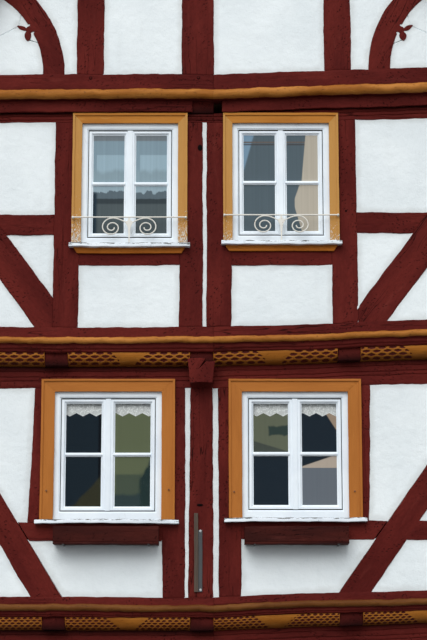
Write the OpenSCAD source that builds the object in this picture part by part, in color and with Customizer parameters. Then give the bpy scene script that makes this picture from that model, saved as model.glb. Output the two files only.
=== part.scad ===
// Half timbered house with a jettied gable front, carved floor edges and paired casement windows.
// Millimetres, +Z up. The front faces -Y and the origin is on the ground under the middle of the house.

/* [House] */
// Width over the side walls
house_w = 6000; // [5800:50:6600]
// Length between the two gable faces
gable_len = 7600; // [6400:100:9600]
// Rise of the beams for each unit of width to the right of the middle
sag_slope = 0.035; // [0:0.005:0.05]
// Rise of the heads of the front and rear frames, on the right too
head_slope = 0.02; // [0:0.005:0.035]
// Depth of every wall timber, outside to inside
timber_t = 200; // [160:5:240]
// Width of the corner posts
corner_w = 240; // [200:5:280]
// Thickness of the plastered panels
panel_t = 150; // [100:5:158]
// How far the panel faces lie behind the timber faces
panel_recess = 6; // [2:1:15]

/* [Plinth and doorstep] */
// Height of the stone plinth at its low side
plinth_h = 400; // [250:10:600]
// Thickness of the plinth wall
plinth_t = 480; // [400:10:600]
// How far the plinth stands out beyond the wall
plinth_out = 30; // [10:5:60]
// Depth of each doorstep, front to back
step_d = 280; // [240:10:300]
// Height of the lower doorstep
step_h = 160; // [120:5:180]

/* [Storeys] */
// Height of the ground sill beam
ground_sill_h = 200; // [160:5:240]
// Height of the first storey sill beam
first_sill_h = 195; // [180:5:240]
// Height of the second storey sill beam
second_sill_h = 250; // [220:5:280]
// Height of the sill beam under the gable
gable_sill_h = 264; // [240:2:300]
// Clear height of the ground storey frame
ground_clear = 2145; // [2000:5:2400]
// Clear height of the first storey frame
first_clear = 2060; // [2000:5:2300]
// Clear height of the second storey frame
second_clear = 2110; // [2060:5:2300]
// Height of the wall plates over the ground and first storey
plate_h = 215; // [180:5:240]
// Height of the wall plate over the second storey
top_plate_h = 96; // [80:2:140]
// Height of the joists
joist_h = 120; // [100:5:160]
// Width of the joists
joist_w = 230; // [180:5:260]
// Thickness of the floor boards
floor_t = 60; // [40:5:80]
// How far the first storey front stands out over the ground storey
low_jetty = 180; // [100:5:220]
// How far the second storey front stands out over the first storey
mid_jetty = 180; // [100:5:220]
// How far the gable stands out over the second storey
top_jetty = 100; // [60:5:140]

/* [First storey front] */
// Left edge of the left window opening
first_left_x = -1590; // [-1640:5:-1560]
// Width of the left window opening
first_left_w = 1090; // [1000:5:1120]
// Left edge of the right window opening
first_right_x = 270; // [250:5:300]
// Width of the right window opening
first_right_w = 1077; // [1000:1:1120]
// Width of the posts on the outer sides of the windows
first_outer_post_w = 212; // [180:2:240]
// Width of the posts on the inner sides of the windows
first_inner_post_w = 222; // [180:1:225]
// Width of the middle post
first_middle_post_w = 220; // [180:5:225]
// Left edge of the middle post
first_middle_post_x = -225; // [-235:5:-220]
// How much the posts of the first storey spread at their feet
first_post_spread = 26; // [0:1:30]
// Top of the rail under the windows, over the sill beam
first_rail_z = 730; // [680:5:800]
// Height of the rail
first_rail_h = 185; // [160:5:220]
// How much higher the rail on the right lies
first_rail_step = 15; // [0:1:20]
// Foot of the left brace on the sill beam, its outer edge
first_brace_foot = -1769; // [-1800:1:-1740]
// Rise of the braces for each unit sideways
first_brace_slope = 1.60; // [1.5:0.02:1.7]
// Width of the braces along the sill beam
first_brace_w = 305; // [240:5:340]
// Foot of the right brace on the sill beam, its outer edge
first_right_brace_foot = 1520; // [1500:5:1560]
// Rise of the right brace for each unit sideways
first_right_brace_slope = 1.40; // [1.34:0.02:1.5]

/* [Second storey front] */
// Left edge of the left window opening
second_left_x = -1340; // [-1380:5:-1310]
// Width of the left window opening
second_left_w = 995; // [940:5:1010]
// Left edge of the right window opening
second_right_x = 178; // [170:2:200]
// Width of the right window opening
second_right_w = 1002; // [940:1:1040]
// Width of the posts on the outer sides of the windows
second_outer_post_w = 258; // [220:2:280]
// Width of the post on the inner side of the left window
second_inner_left_w = 235; // [200:5:240]
// Width of the post on the inner side of the right window
second_inner_right_w = 250; // [200:2:250]
// Top of the rail under the windows, over the sill beam
second_rail_z = 825; // [780:5:900]
// Height of the rail under the windows
second_rail_h = 195; // [160:5:220]
// Top of the rails beside the outer posts, over the sill beam
second_outer_rail_z = 1150; // [1080:5:1240]
// Height of the rails beside the outer posts
second_outer_rail_h = 215; // [180:5:240]
// How much higher the rails and the window on the right lie
second_rail_step = 24; // [0:1:28]
// Foot of the left brace on the sill beam, its outer edge
second_brace_foot = -1761; // [-1800:1:-1720]
// Foot of the right brace on the sill beam, its outer edge
second_right_brace_foot = 1712; // [1680:2:1760]
// Rise of the braces for each unit sideways
second_brace_slope = 1.34; // [1.3:0.02:1.4]
// Width of the braces along the sill beam
second_brace_w = 385; // [300:5:420]

/* [Floor edges] */
// Radius of the ochre bead along the lower floor edges
bead_r = 32; // [24:1:40]
// Radius of the ochre bead under the gable
gable_bead_r = 50; // [40:1:56]
// Height of the moulded lower part of the sill beams
moulding_h = 58; // [40:2:80]
// How far the moulding steps back
moulding_d = 42; // [20:2:60]
// How far the joist ends lie behind the face of the upper storey
joist_recess = 70; // [50:5:90]
// Width of the console under the middle joist
console_w = 268; // [220:2:280]
// Width of the console at its foot
console_foot_w = 209; // [180:1:240]
// Left edge of the gap in the board under the gable
board_gap_x = -215; // [-240:5:-190]
// Width of the gap in the board under the gable
board_gap_w = 300; // [240:5:320]

/* [Roof] */
// Height of the ridge over the gable sill, measured under the rafters
roof_rise = 4150; // [3400:50:4600]
// Width of the seat of the rafters on the side walls
rafter_seat = 80; // [60:5:100]
// Depth of the rafters, square to the slope
rafter_d = 160; // [120:5:200]
// Width of the rafters
rafter_w = 140; // [100:5:180]
// Bays between the rafters
rafter_bays = 6; // [4:1:9]
// Thickness of the battens and tiles
cover_t = 90; // [70:5:120]
// Overhang of the roof past the side walls
eaves_out = 350; // [250:10:500]
// Overhang of the roof past the gables
verge_out = 250; // [150:10:350]
// Radius of the ridge tiles
ridge_r = 120; // [90:5:150]
// Height of the barge boards, square to the slope
barge_h = 210; // [150:5:260]
// Thickness of the barge boards
barge_t = 35; // [20:1:50]

/* [Gable] */
// Left edge of the left gable post
gable_left_x = -1388; // [-1420:2:-1360]
// Left edge of the right gable post
gable_right_x = 1123; // [1100:1:1150]
// Width of the side gable posts
gable_post_w = 275; // [220:5:290]
// Left edge of the middle gable post
gable_middle_x = -320; // [-340:5:-300]
// Width of the middle gable post
gable_middle_w = 325; // [280:5:340]
// Bottom of the collar rail over the gable sill
gable_collar_z = 1800; // [1700:10:1900]
// Height of the collar rail
gable_collar_h = 200; // [160:5:240]
// Bottom of the gable rails over the gable sill
gable_rail_z = 950; // [900:10:1050]
// Height of the gable rails
gable_rail_h = 150; // [120:5:180]
// Foot of the left curved brace, its inner edge
curve_foot_x = -1509; // [-1540:1:-1500]
// Foot of the right curved brace, its inner edge
curve_right_foot_x = 1571; // [1560:1:1600]
// Radius of the back of the curved braces
curve_r = 1176; // [1150:2:1200]
// Width of the curved braces
curve_w = 218; // [200:2:240]
// Length of the upper leaf of a carved pair on a curved brace
upper_leaf_l = 122; // [110:1:130]
// Width of the upper leaf
upper_leaf_w = 43; // [36:1:50]
// Length of the lower leaf of the pair
lower_leaf_l = 114; // [104:1:124]
// Width of the lower leaf
lower_leaf_w = 70; // [60:1:74]
// Radius of the stem that joins a pair of leaves to the brace
leaf_stem_r = 36; // [32:1:38]
// Radius of the notches beside the stem
leaf_notch_r = 10; // [8:1:12]

/* [Windows] */
// Width of the frame bars
frame_w = 76; // [60:1:84]
// Height of the foot of a frame on the ground and first storey
low_frame_foot = 106; // [90:1:110]
// Height of the foot of a frame on the second storey
high_frame_foot = 90; // [80:1:100]
// How far the window heads of the two lower storeys hang under the wall plate
head_drop = 23; // [0:1:26]
// Depth of the frame bars
frame_d = 72; // [60:1:90]
// How far the frames lie behind the wall face
frame_recess = 12; // [8:1:30]
// Width of the casement stiles and rails
stile_w = 48; // [42:1:60]
// Depth of the casements
stile_d = 46; // [36:1:56]
// Gap between a casement and its frame
casement_gap = 0.5; // [0.3:0.1:1]
// Thickness of the glass
glass_t = 5; // [3:1:8]
// Width of the ochre trim on the ground and first storey
wide_trim = 132; // [110:2:150]
// Width of the ochre trim on the second storey
slim_trim = 94; // [86:1:106]
// Height of the upper trim board on the ground and first storey
wide_head_trim = 124; // [110:1:140]
// Height of the upper trim board on the second storey
slim_head_trim = 102; // [90:1:112]
// Thickness of the trim boards
trim_t = 24; // [18:1:34]
// Width of the raised outer edge of the trim
trim_edge_w = 22; // [14:1:30]
// How far that edge stands out from the trim
trim_edge_t = 12; // [6:1:18]
// How far the trim reaches over the frame
trim_lap = 13; // [8:1:20]
// Thickness of the sill boards
board_h = 42; // [30:1:46]
// How far the sill boards stand out from the wall
board_out = 85; // [65:5:110]
// How far the sill boards reach past the trim
board_past = 22; // [4:1:30]
// How much further they reach on the ground and first storey
low_board_past = 23; // [0:1:30]
// How far the sill boards lie under the foot of the frame
board_drop = 18; // [6:1:24]
// Height of the aprons under the second storey sill boards
apron_h = 60; // [50:2:80]
// Thickness of the aprons
apron_t = 26; // [16:1:34]

/* [Side walls] */
// Bays along each side wall
side_bays = 5; // [4:1:7]
// Width of the posts in the side walls
side_post_w = 200; // [160:5:240]
// Width of the side windows
side_window_w = 900; // [700:10:950]

/* [Fittings] */
// Width of the bars in the iron grilles
iron_w = 14; // [10:1:20]
// Thickness of the grille scrolls across the wall
iron_t = 12; // [8:1:16]
// Outer radius of a grille scroll
scroll_r = 88; // [70:1:92]
// Height of the grille bar over the window opening
grille_z = 276; // [240:2:300]
// Height of the flower boxes
box_h = 168; // [140:2:190]
// Depth of the flower boxes
box_d = 200; // [160:5:220]
// Thickness of the flower box boards
box_t = 20; // [12:1:25]
// How much shorter than the window a flower box is, at each end
box_inset = 30; // [10:5:60]
// Length of the wooden lath on the middle post
lath_h = 769; // [700:5:800]
// Width of the wooden lath
lath_w = 40; // [34:1:50]
// Thickness of the wooden lath
lath_t = 22; // [14:1:30]
// Length of the metal strip beside the lath
strip_h = 600; // [560:5:640]
// Width of the metal strip
strip_w = 40; // [30:1:44]
// Place of the lath on the middle post, from the post's left edge
lath_x = 35; // [25:1:45]
// Height of the foot of the lath over the sill beam
lath_z = 50; // [30:5:80]

/* [Door] */
// Height of the door opening over the plinth
door_h = 2120; // [2000:10:2200]
// Thickness of the door leaf
door_t = 56; // [44:2:66]
// Width of the door frame bars
door_frame_w = 90; // [70:5:110]
// Depth of the door leaf behind the face of its frame
door_recess = 20; // [10:5:40]

/* [Hidden] */
$fn = 64;

// Joint left between neighbouring timbers, panels and boards
joint = 0.4;
half_w = house_w / 2;
inner_x = half_w - timber_t;
seat_x = half_w - rafter_seat;
rear_y = gable_len / 2;
gable_y = -gable_len / 2;

// Front faces of the storeys: ground, first, second
front_y = [
    gable_y + top_jetty + mid_jetty + low_jetty,
    gable_y + top_jetty + mid_jetty,
    gable_y + top_jetty
];

// Tops of the sill beams and undersides of the wall plates, from the plinth up
ground_z = plinth_h + ground_sill_h;
ground_high = max(ground_clear, plinth_h + door_h + 2 * door_frame_w - ground_z);
ground_head = ground_z + ground_high;
first_z = ground_head + plate_h + joist_h + first_sill_h;
first_head = first_z + first_clear;
second_z = first_head + plate_h + joist_h + second_sill_h;
second_head = second_z + second_clear;
gable_z = second_head + top_plate_h + joist_h + gable_sill_h;
sill_top = [ground_z, first_z, second_z];
head_z = [ground_head, first_head, second_head];
plate_top = [ground_head + plate_h, first_head + plate_h, second_head + top_plate_h];
ridge_z = gable_z + roof_rise;

// Rails under the windows, by storey: top over the sill, height, step up on the right
rail_top = [ground_high - (first_clear - first_rail_z), first_rail_z, second_rail_z];
rail_h = [first_rail_h, first_rail_h, second_rail_h];
rail_step = [0, first_rail_step, second_rail_step];
trim_w = [wide_trim, wide_trim, slim_trim];

// Openings, by storey: left edge and width on the left, then on the right
opening_x = [
    [first_left_x, first_right_x], [first_left_x, first_right_x], [second_left_x, second_right_x]
];
opening_w = [
    [first_left_w, first_right_w], [first_left_w, first_right_w],
    [second_left_w, second_right_w]
];

// Colours
oxblood = "#6e1f1d";
ochre = "#b98a3c";
plaster = "#dde0e2";
frame_white = "#eceae4";
glass_blue = "#6c7f8e";
stone_grey = "#9a9289";
tile_red = "#8c4a35";
board_brown = "#8a6b4a";
iron_cream = "#d8cfbd";
iron_black = "#2b2a2a";
door_green = "#4b3a2c";

// Rise of the structure at a place along the front
function lift(x) = sag_slope * max(0, x);

// Rise of the frame heads at a place along the front
function head_lift(x) = head_slope * max(0, x);

// Rise of the roof for each unit sideways, on the left and on the right
function roof_slope(side) = (roof_rise - lift(side * seat_x)) / seat_x;

// Height of a line parallel to the slope, a given depth over the underside of the rafters
function roof_line(side, x, depth) =
    ridge_z - roof_slope(side) * abs(x) + depth * sqrt(1 + pow(roof_slope(side), 2));

// Extrudes an outline drawn in the plane of a wall, from one depth to another
module upright(from_y, to_y) {
    translate([0, to_y, 0])
        rotate([90, 0, 0])
            linear_extrude(to_y - from_y)
                children();
}

// Extrudes a cross-section drawn as depth and height along the front
module along_front(from_x, to_x) {
    translate([from_x, 0, 0])
        rotate([90, 0, 90])
            linear_extrude(to_x - from_x)
                children();
}

// Four-cornered outline whose top and bottom rise to the right of the middle, by default with the sag
module sagged(x0, x1, z0, z1, grow = 0, low_slope = sag_slope, top_slope = sag_slope) {
    polygon([
        [x0 - grow, z0 - grow + low_slope * max(0, x0)],
        [x1 + grow, z0 - grow + low_slope * max(0, x1)],
        [x1 + grow, z1 + grow + top_slope * max(0, x1)],
        [x0 - grow, z1 + grow + top_slope * max(0, x0)]
    ]);
}

// Level rectangle in the plane of a wall
module level(x0, x1, z0, z1, grow = 0) {
    translate([x0 - grow, z0 - grow])
        square([x1 - x0 + 2 * grow, z1 - z0 + 2 * grow]);
}

// Places a wall's own frame, x along it and y inwards, at the front or the rear
module on_front(s) {
    translate([0, front_y[s], 0])
        children();
}

module on_rear() {
    translate([0, rear_y, 0])
        mirror([0, 1, 0])
            children();
}

// Places a wall's own frame on a side wall: there x runs towards the rear
module on_side(side) {
    if (side > 0)
        translate([half_w, 0, lift(half_w)])
            rotate([0, 0, 90])
                children();
    else
        mirror([1, 0, 0])
            translate([half_w, 0, 0])
                rotate([0, 0, 90])
                    children();
}

// Posts of a front wall, by storey: left edge, right edge, foot over the sill
function outer_post_w(s) = s == 2 ? second_outer_post_w : first_outer_post_w;
function front_posts(s) = concat(
    [
        [-half_w, -half_w + corner_w, 0],
        [opening_x[s][0] - outer_post_w(s), opening_x[s][0], s == 2 ? 0 : rail_top[s]],
        [
            opening_x[s][0] + opening_w[s][0],
            opening_x[s][0] + opening_w[s][0] + (s == 2 ? second_inner_left_w : first_inner_post_w),
            0
        ],
        [opening_x[s][1] - (s == 2 ? second_inner_right_w : first_inner_post_w), opening_x[s][1], 0],
        [
            opening_x[s][1] + opening_w[s][1],
            opening_x[s][1] + opening_w[s][1] + outer_post_w(s),
            s == 1 ? rail_top[s] + rail_step[s] : 0
        ],
        [half_w - corner_w, half_w, 0]
    ],
    s == 2 ? [] : [[first_middle_post_x, first_middle_post_x + first_middle_post_w, 0]]
);

// How far the edges of a post lie off: left and right edge at the foot, left and right edge at the head
function post_shift(s, i) =
    s != 1 ? [0, 0, 0, 0]
    : i == 1 ? [-first_post_spread, 0, first_post_spread, 0]
    : i == 4 ? [0, -first_post_spread, 0, 0]
    : i == 6 ? [-first_post_spread, 0, 0, 0]
    : [0, 0, 0, 0];

module posts_outline(s, grow = 0) {
    for (i = [0 : len(front_posts(s)) - 1]) {
        post = front_posts(s)[i];
        shift = post_shift(s, i);
        on_rail = post[2] > 0;
        foot_z = sill_top[s] + post[2] + joint - grow;
        top_z = head_z[s] - joint + grow;
        polygon([
            [post[0] + shift[0] - grow, foot_z + (on_rail ? 0 : lift(post[0]))],
            [post[1] + shift[1] + grow, foot_z + (on_rail ? 0 : lift(post[1]))],
            [post[1] + shift[3] + grow, top_z + head_lift(post[1])],
            [post[0] + shift[2] - grow, top_z + head_lift(post[0])]
        ]);
    }
}

// Straight brace from the head of a corner post down to the sill beam, cut at its bay
module brace_outline(s, side, grow = 0) {
    foot = s == 2
        ? (side < 0 ? second_brace_foot : second_right_brace_foot)
        : (side < 0 ? first_brace_foot : first_right_brace_foot);
    slope = s == 2
        ? second_brace_slope
        : (side < 0 ? first_brace_slope : first_right_brace_slope);
    w = s == 2 ? second_brace_w : first_brace_w;
    run = s == 2 ? head_z[s] - sill_top[s] : head_z[s] - sill_top[s] + w;
    z0 = sill_top[s] + lift(foot);
    outer_x = half_w - corner_w;
    beside_post = s == 2 || (s == 0 && side > 0);
    bay_x = beside_post ? abs(front_posts(s)[side < 0 ? 1 : 4][side < 0 ? 0 : 1]) : abs(foot) - w;
    intersection() {
        polygon([
            [foot - side * (-grow), z0 - grow * slope - joint],
            [foot - side * (w + grow), z0 - grow * slope - joint],
            [foot - side * (w + grow) + side * run * 1.4 / slope, z0 + run * 1.4],
            [foot + side * grow + side * run * 1.4 / slope, z0 + run * 1.4]
        ]);
        sagged(
            side < 0 ? -outer_x + joint : bay_x + joint - 2 * grow,
            side < 0 ? -bay_x - joint + 2 * grow : outer_x - joint,
            sill_top[s] + joint,
            head_z[s] - joint,
            grow,
            top_slope = head_slope
        );
    }
}

// Rails of a front wall before the posts and braces are taken out of them
module rails_outline(s, door, grow = 0) {
    top = sill_top[s] + rail_top[s];
    step = rail_step[s];
    post = front_posts(s);
    if (s == 2) {
        outer = sill_top[s] + second_outer_rail_z;
        level(post[0][1] + joint, post[1][0] - joint, outer - second_outer_rail_h, outer, grow);
        level(post[1][1] + joint, post[2][0] - joint, top - rail_h[s], top, grow);
        level(post[3][1] + joint, post[4][0] - joint, top - rail_h[s], top + step, grow);
        level(
            post[4][1] + joint, post[5][0] - joint,
            outer + step - second_outer_rail_h, outer + step, grow
        );
    } else {
        level(post[0][1] + joint, post[2][0] - joint, top - rail_h[s], top, grow);
        if (door) {
            head = plinth_h + door_h;
            level(post[3][1] + joint, post[4][0] - joint, head, head + door_frame_w, grow);
            level(post[4][1] + joint, post[5][0] - joint, top - rail_h[s], top, grow);
        } else {
            level(post[3][1] + joint, post[5][0] - joint, top + step - rail_h[s], top + step, grow);
        }
    }
}

// The rails as they are, butted against posts and cut where a brace passes
module cut_rails(s, door, grow = 0) {
    difference() {
        rails_outline(s, door, grow);
        for (side = [-1, 1])
            brace_outline(s, side, joint - grow);
        posts_outline(s, joint - grow);
    }
}

// Left out of the panels: the window openings and, on the ground storey front, the doorway
module openings_outline(s, door) {
    for (i = [0, 1]) {
        x0 = opening_x[s][i];
        x1 = x0 + opening_w[s][i];
        low = i == 1 && door ? 0 : sill_top[s] + rail_top[s] - joint;
        high = i == 1 && door ? plinth_h + door_h : head_z[s] + plate_h;
        level(x0 - joint, x1 + joint, low, high);
    }
}

// Posts, braces and rails of one storey of a front or rear wall, in the wall's own frame
module wall_frame(s, door = false) {
    upright(0, timber_t) {
        posts_outline(s);
    }
    upright(0, timber_t)
        difference() {
            for (side = [-1, 1])
                brace_outline(s, side);
            posts_outline(s, joint);
        }
    upright(0, timber_t)
        cut_rails(s, door);
}

// Plastered panels of one storey of a front or rear wall
module wall_infill(s, door = false) {
    upright(panel_recess, panel_recess + panel_t)
        difference() {
            polygon([
                [-half_w + corner_w + joint, sill_top[s] + joint],
                [0, sill_top[s] + joint],
                [half_w - corner_w - joint, sill_top[s] + joint + lift(half_w - corner_w)],
                [half_w - corner_w - joint, head_z[s] - joint + head_lift(half_w - corner_w)],
                [0, head_z[s] - joint],
                [-half_w + corner_w + joint, head_z[s] - joint]
            ]);
            posts_outline(s, joint);
            for (side = [-1, 1])
                brace_outline(s, side, joint);
            rails_outline(s, door, joint);
            openings_outline(s, door);
        }
}

// Side walls: length, post places, window place, all measured along Y
function side_start(s) = front_y[s] + timber_t;
function side_end() = rear_y - timber_t;
function side_pitch(s) = (side_end() - side_start(s) + side_post_w) / side_bays;
function side_post_x(s, i) = side_start(s) + i * side_pitch(s) - side_post_w;
side_window_bay = 2;
function side_window_x(s) =
    side_post_x(s, side_window_bay) + side_post_w + (side_pitch(s) - side_post_w - side_window_w) / 2;

// Stud beside the side window, and all posts of the side wall
function side_studs(s) = concat(
    [for (i = [1 : side_bays - 1]) [side_post_x(s, i), side_post_x(s, i) + side_post_w]]
);

// Side pieces are drawn a little too tall, then cut to the wall's section
side_ease = 20;

module cut_to_side(s, side) {
    intersection() {
        on_side(side)
            children();
        upright(side_start(s) + joint, side_end() - joint)
            side_section(side, sill_top[s] + joint, head_z[s] - joint);
    }
}

module side_posts_outline(s, grow = 0) {
    for (p = side_studs(s))
        level(p[0], p[1], sill_top[s] - side_ease, head_z[s] + side_ease, grow);
}

module side_brace_outline(s, last, grow = 0) {
    from_x = last ? side_post_x(s, side_bays - 1) + side_post_w : side_start(s);
    to_x = last ? side_end() : side_post_x(s, 1);
    foot = last ? from_x + joint : to_x - joint;
    turn = last ? 1 : -1;
    w = first_brace_w;
    run = head_z[s] - sill_top[s];
    intersection() {
        polygon([
            [foot - turn * grow, sill_top[s] - side_ease],
            [foot + turn * (w + grow), sill_top[s] - side_ease],
            [foot + turn * (to_x - from_x + grow), head_z[s] - run / 6 - grow],
            [foot + turn * (to_x - from_x + grow), head_z[s] + side_ease],
            [foot + turn * (to_x - from_x - w / 3 - grow), head_z[s] + side_ease]
        ]);
        level(from_x + joint, to_x - joint, sill_top[s] - side_ease, head_z[s] + side_ease, grow);
    }
}

module side_rails_outline(s, grow = 0) {
    top = sill_top[s] + rail_top[s];
    for (i = [0 : side_bays - 1])
        level(
            (i == 0 ? side_start(s) : side_post_x(s, i) + side_post_w) + joint,
            (i == side_bays - 1 ? side_end() : side_post_x(s, i + 1)) - joint,
            top - rail_h[s], top, grow
        );
}

module side_window_outline(s) {
    x0 = side_window_x(s);
    level(
        x0 - joint, x0 + side_window_w + joint,
        sill_top[s] + rail_top[s] - joint, head_z[s] + plate_h
    );
}

module side_wall_frame(s) {
    upright(0, timber_t)
        side_posts_outline(s);
    upright(0, timber_t)
        for (last = [false, true])
            side_brace_outline(s, last);
    upright(0, timber_t)
        difference() {
            side_rails_outline(s);
            for (last = [false, true])
                side_brace_outline(s, last, joint);
        }
}

module side_wall_infill(s) {
    upright(panel_recess, panel_recess + panel_t)
        difference() {
            level(
                side_start(s) + joint, side_end() - joint,
                sill_top[s] - side_ease, head_z[s] + side_ease
            );
            side_posts_outline(s, joint);
            for (last = [false, true])
                side_brace_outline(s, last, joint);
            side_rails_outline(s, joint);
            side_window_outline(s);
        }
}

// Every window: storey, left edge, width, rise over the rail of the left half, height, drop of the head
function front_window(s, i) = [
    s, opening_x[s][i], opening_w[s][i], i * rail_step[s],
    head_z[s] + head_lift(opening_x[s][i]) - sill_top[s] - rail_top[s] - i * rail_step[s],
    s == 2 ? 0 : head_drop + head_lift(opening_x[s][i])
];
function side_window(s) = [
    s, side_window_x(s), side_window_w, 0,
    head_z[s] - sill_top[s] - rail_top[s] - lift(half_w) + lift(inner_x),
    s == 2 ? 0 : head_drop
];
function frame_foot(s) = s == 2 ? high_frame_foot : low_frame_foot;
function board_end(s) = s == 2 ? board_past : board_past + low_board_past;

// Puts one piece of window work at every window; $win holds the window
module at_windows(upper_only = false) {
    for (s = upper_only ? [2] : [0, 1, 2]) {
        for (i = s == 0 ? [0] : [0, 1])
            on_front(s)
                at_window(front_window(s, i))
                    children();
        for (i = [0, 1])
            on_rear()
                at_window(front_window(s, i))
                    children();
        for (side = [-1, 1])
            on_side(side)
                at_window(side_window(s))
                    children();
    }
}

module at_window(win) {
    $win = win;
    translate([win[1], 0, sill_top[win[0]] + rail_top[win[0]] + win[3]])
        children();
}

// Stone plinth, its top following the sag of the house
module plinth_wall(x0, x1, from_y, to_y) {
    upright(from_y, to_y)
        polygon([[x0, 0], [x1, 0], [x1, plinth_h + lift(x1)], [x0, plinth_h + lift(x0)]]);
}

module stone_plinth() {
    out_x = half_w + plinth_out;
    front = front_y[0] - plinth_out;
    back = rear_y + plinth_out;
    color(stone_grey) {
        for (y = [front, back - plinth_t]) {
            plinth_wall(-out_x, -joint, y, y + plinth_t);
            plinth_wall(0, out_x, y, y + plinth_t);
        }
        for (x = [-out_x, out_x - plinth_t])
            plinth_wall(x, x + plinth_t, front + plinth_t + joint, back - plinth_t - joint);
    }
}

// Two stone steps in front of the door
module door_steps() {
    x0 = opening_x[0][1] - outer_post_w(0) / 2;
    x1 = opening_x[0][1] + opening_w[0][1] + outer_post_w(0) / 2;
    front = front_y[0] - plinth_out - joint;
    color(stone_grey) {
        translate([x0, front - 2 * step_d, 0])
            cube([x1 - x0, step_d - joint, step_h]);
        translate([x0, front - step_d, 0])
            cube([x1 - x0, step_d, 2 * step_h]);
        translate([opening_x[0][1] + joint, front_y[0] - plinth_out, plinth_h + lift(x1) + joint])
            cube([opening_w[0][1] - 2 * joint, timber_t + plinth_out - joint, floor_t]);
    }
}

// Floor boards in two halves, following the sag
module floor_boards(from_y, z) {
    color(board_brown) {
        upright(from_y + timber_t + joint, rear_y - timber_t - joint)
            sagged(-inner_x + joint, -joint, z + joint, z + floor_t);
        upright(from_y + timber_t + joint, rear_y - timber_t - joint)
            sagged(0, inner_x - joint, z + joint, z + floor_t);
    }
}

module ground_floor() {
    floor_boards(front_y[0], plinth_h);
}

module first_floor() {
    floor_boards(front_y[1], plate_top[0] + joist_h);
}

module second_floor() {
    floor_boards(front_y[2], plate_top[1] + joist_h);
}

module attic_floor() {
    floor_boards(gable_y, plate_top[2] + joist_h);
}

// Shift of the second joist from the edge of the left opening
joist_shift = 30;
// Joists run from the front to the rear wall; their places are shared by all floors
joist_x = [
    -half_w + joist_w / 2,
    first_left_x + joist_shift,
    first_middle_post_x + first_middle_post_w / 2,
    first_right_x + first_right_w,
    half_w - joist_w / 2
];

module floor_joists() {
    recess = [joist_recess, joist_recess, top_jetty / 2 + joist_recess / 2];
    faces = [front_y[1], front_y[2], gable_y];
    color(oxblood)
        for (s = [0, 1, 2])
            for (x = joist_x)
                upright(faces[s] + recess[s], rear_y)
                    sagged(
                        x - joist_w / 2, x + joist_w / 2,
                        plate_top[s] + joint, plate_top[s] + joist_h - joint
                    );
}

// Cross-section of a front sill beam: flat face, seat of the bead, then a stepped moulding
module sill_section(h, moulding) {
    step = moulding_d / 3;
    polygon([
        [0, h - joint],
        [0, moulding],
        [step, moulding - moulding / 6],
        [step, moulding / 2],
        [2 * step, moulding / 2 - moulding / 6],
        [2 * step, moulding / 6],
        [moulding_d, joint],
        [timber_t, joint],
        [timber_t, h - joint]
    ]);
}

// Extrudes a cross-section along the front so that it rises with the sag, its ends cut upright
module rising(x0, x1) {
    angle = atan((lift(x1) - lift(x0)) / (x1 - x0));
    if (angle == 0)
        along_front(x0, x1)
            children();
    else
        intersection() {
            translate([x0, 0, lift(x0)])
                rotate([0, -angle, 0])
                    along_front(-timber_t, x1 - x0 + timber_t)
                        children();
            translate([x0, -house_w, -house_w])
                cube([x1 - x0, 2 * house_w, 2 * house_w]);
        }
}

// Left and right half of a front sill beam, the right half rising with the sag
module front_sill(h, moulding) {
    for (part = [[-half_w, -joint], [0, half_w]])
        rising(part[0], part[1])
            sill_section(h, moulding);
}

// Sill or plate that runs round the rear and the sides
module ring_beams(from_y, z, h, low_slope = sag_slope) {
    for (half = [[-half_w, -joint], [0, half_w]])
        upright(rear_y - timber_t, rear_y)
            sagged(half[0], half[1], z + joint, z + h - joint, low_slope = low_slope);
    for (side = [-1, 1])
        upright(from_y + timber_t + joint, rear_y - timber_t - joint)
            side_section(side, z + joint, z + h - joint);
}

// Cross-section of a side wall or of a beam in it, its top and bottom following the sag
module side_section(side, z0, z1) {
    if (side < 0)
        sagged(-half_w, -inner_x, z0, z1);
    else
        sagged(inner_x, half_w, z0, z1);
}

module ground_sill() {
    door_x0 = opening_x[0][1];
    door_x1 = door_x0 + opening_w[0][1];
    color(oxblood) {
        for (part = [[-half_w, -joint], [0, door_x0], [door_x1, half_w]])
            upright(front_y[0], front_y[0] + timber_t)
                sagged(part[0], part[1], plinth_h + joint, ground_z - joint);
        ring_beams(front_y[0], plinth_h, ground_sill_h);
    }
}

module first_sill() {
    z = first_z - first_sill_h;
    color(oxblood) {
        translate([0, front_y[1], z])
            front_sill(first_sill_h, moulding_h);
        ring_beams(front_y[1], z, first_sill_h);
    }
}

module second_sill() {
    z = second_z - second_sill_h;
    color(oxblood) {
        translate([0, front_y[2], z])
            front_sill(second_sill_h, 2 * moulding_h - bead_r);
        ring_beams(front_y[2], z, second_sill_h);
    }
}

module gable_sill() {
    z = gable_z - gable_sill_h;
    color(oxblood) {
        for (face = [0, 1])
            mirror([0, face, 0])
                upright(gable_y, gable_y + timber_t) {
                    sagged(-half_w, -joint, z + joint, gable_z - joint);
                    sagged(0, half_w, z + joint, gable_z - joint);
                }
        for (side = [-1, 1])
            upright(gable_y + timber_t + joint, -gable_y - timber_t - joint)
                side_section(side, z + joint, gable_z - joint);
    }
}

// Wall plate over a front, with moulded lines cut along its face
module front_plate(s) {
    line_h = 7;
    line_d = 8;
    lines = s == 2 ? [0.4, 0.8] : [0.24, 0.5, 0.68];
    for (half = [[-half_w, -joint], [0, half_w]])
        difference() {
            upright(front_y[s], front_y[s] + timber_t)
                sagged(
                    half[0], half[1], head_z[s] + joint, plate_top[s] - joint, low_slope = head_slope
                );
            for (share = lines) {
                z = plate_top[s] - share * (plate_top[s] - head_z[s]);
                upright(front_y[s] - line_d, front_y[s] + line_d)
                    sagged(half[0] - line_d, half[1] + line_d, z, z + line_h);
            }
        }
}

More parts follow.
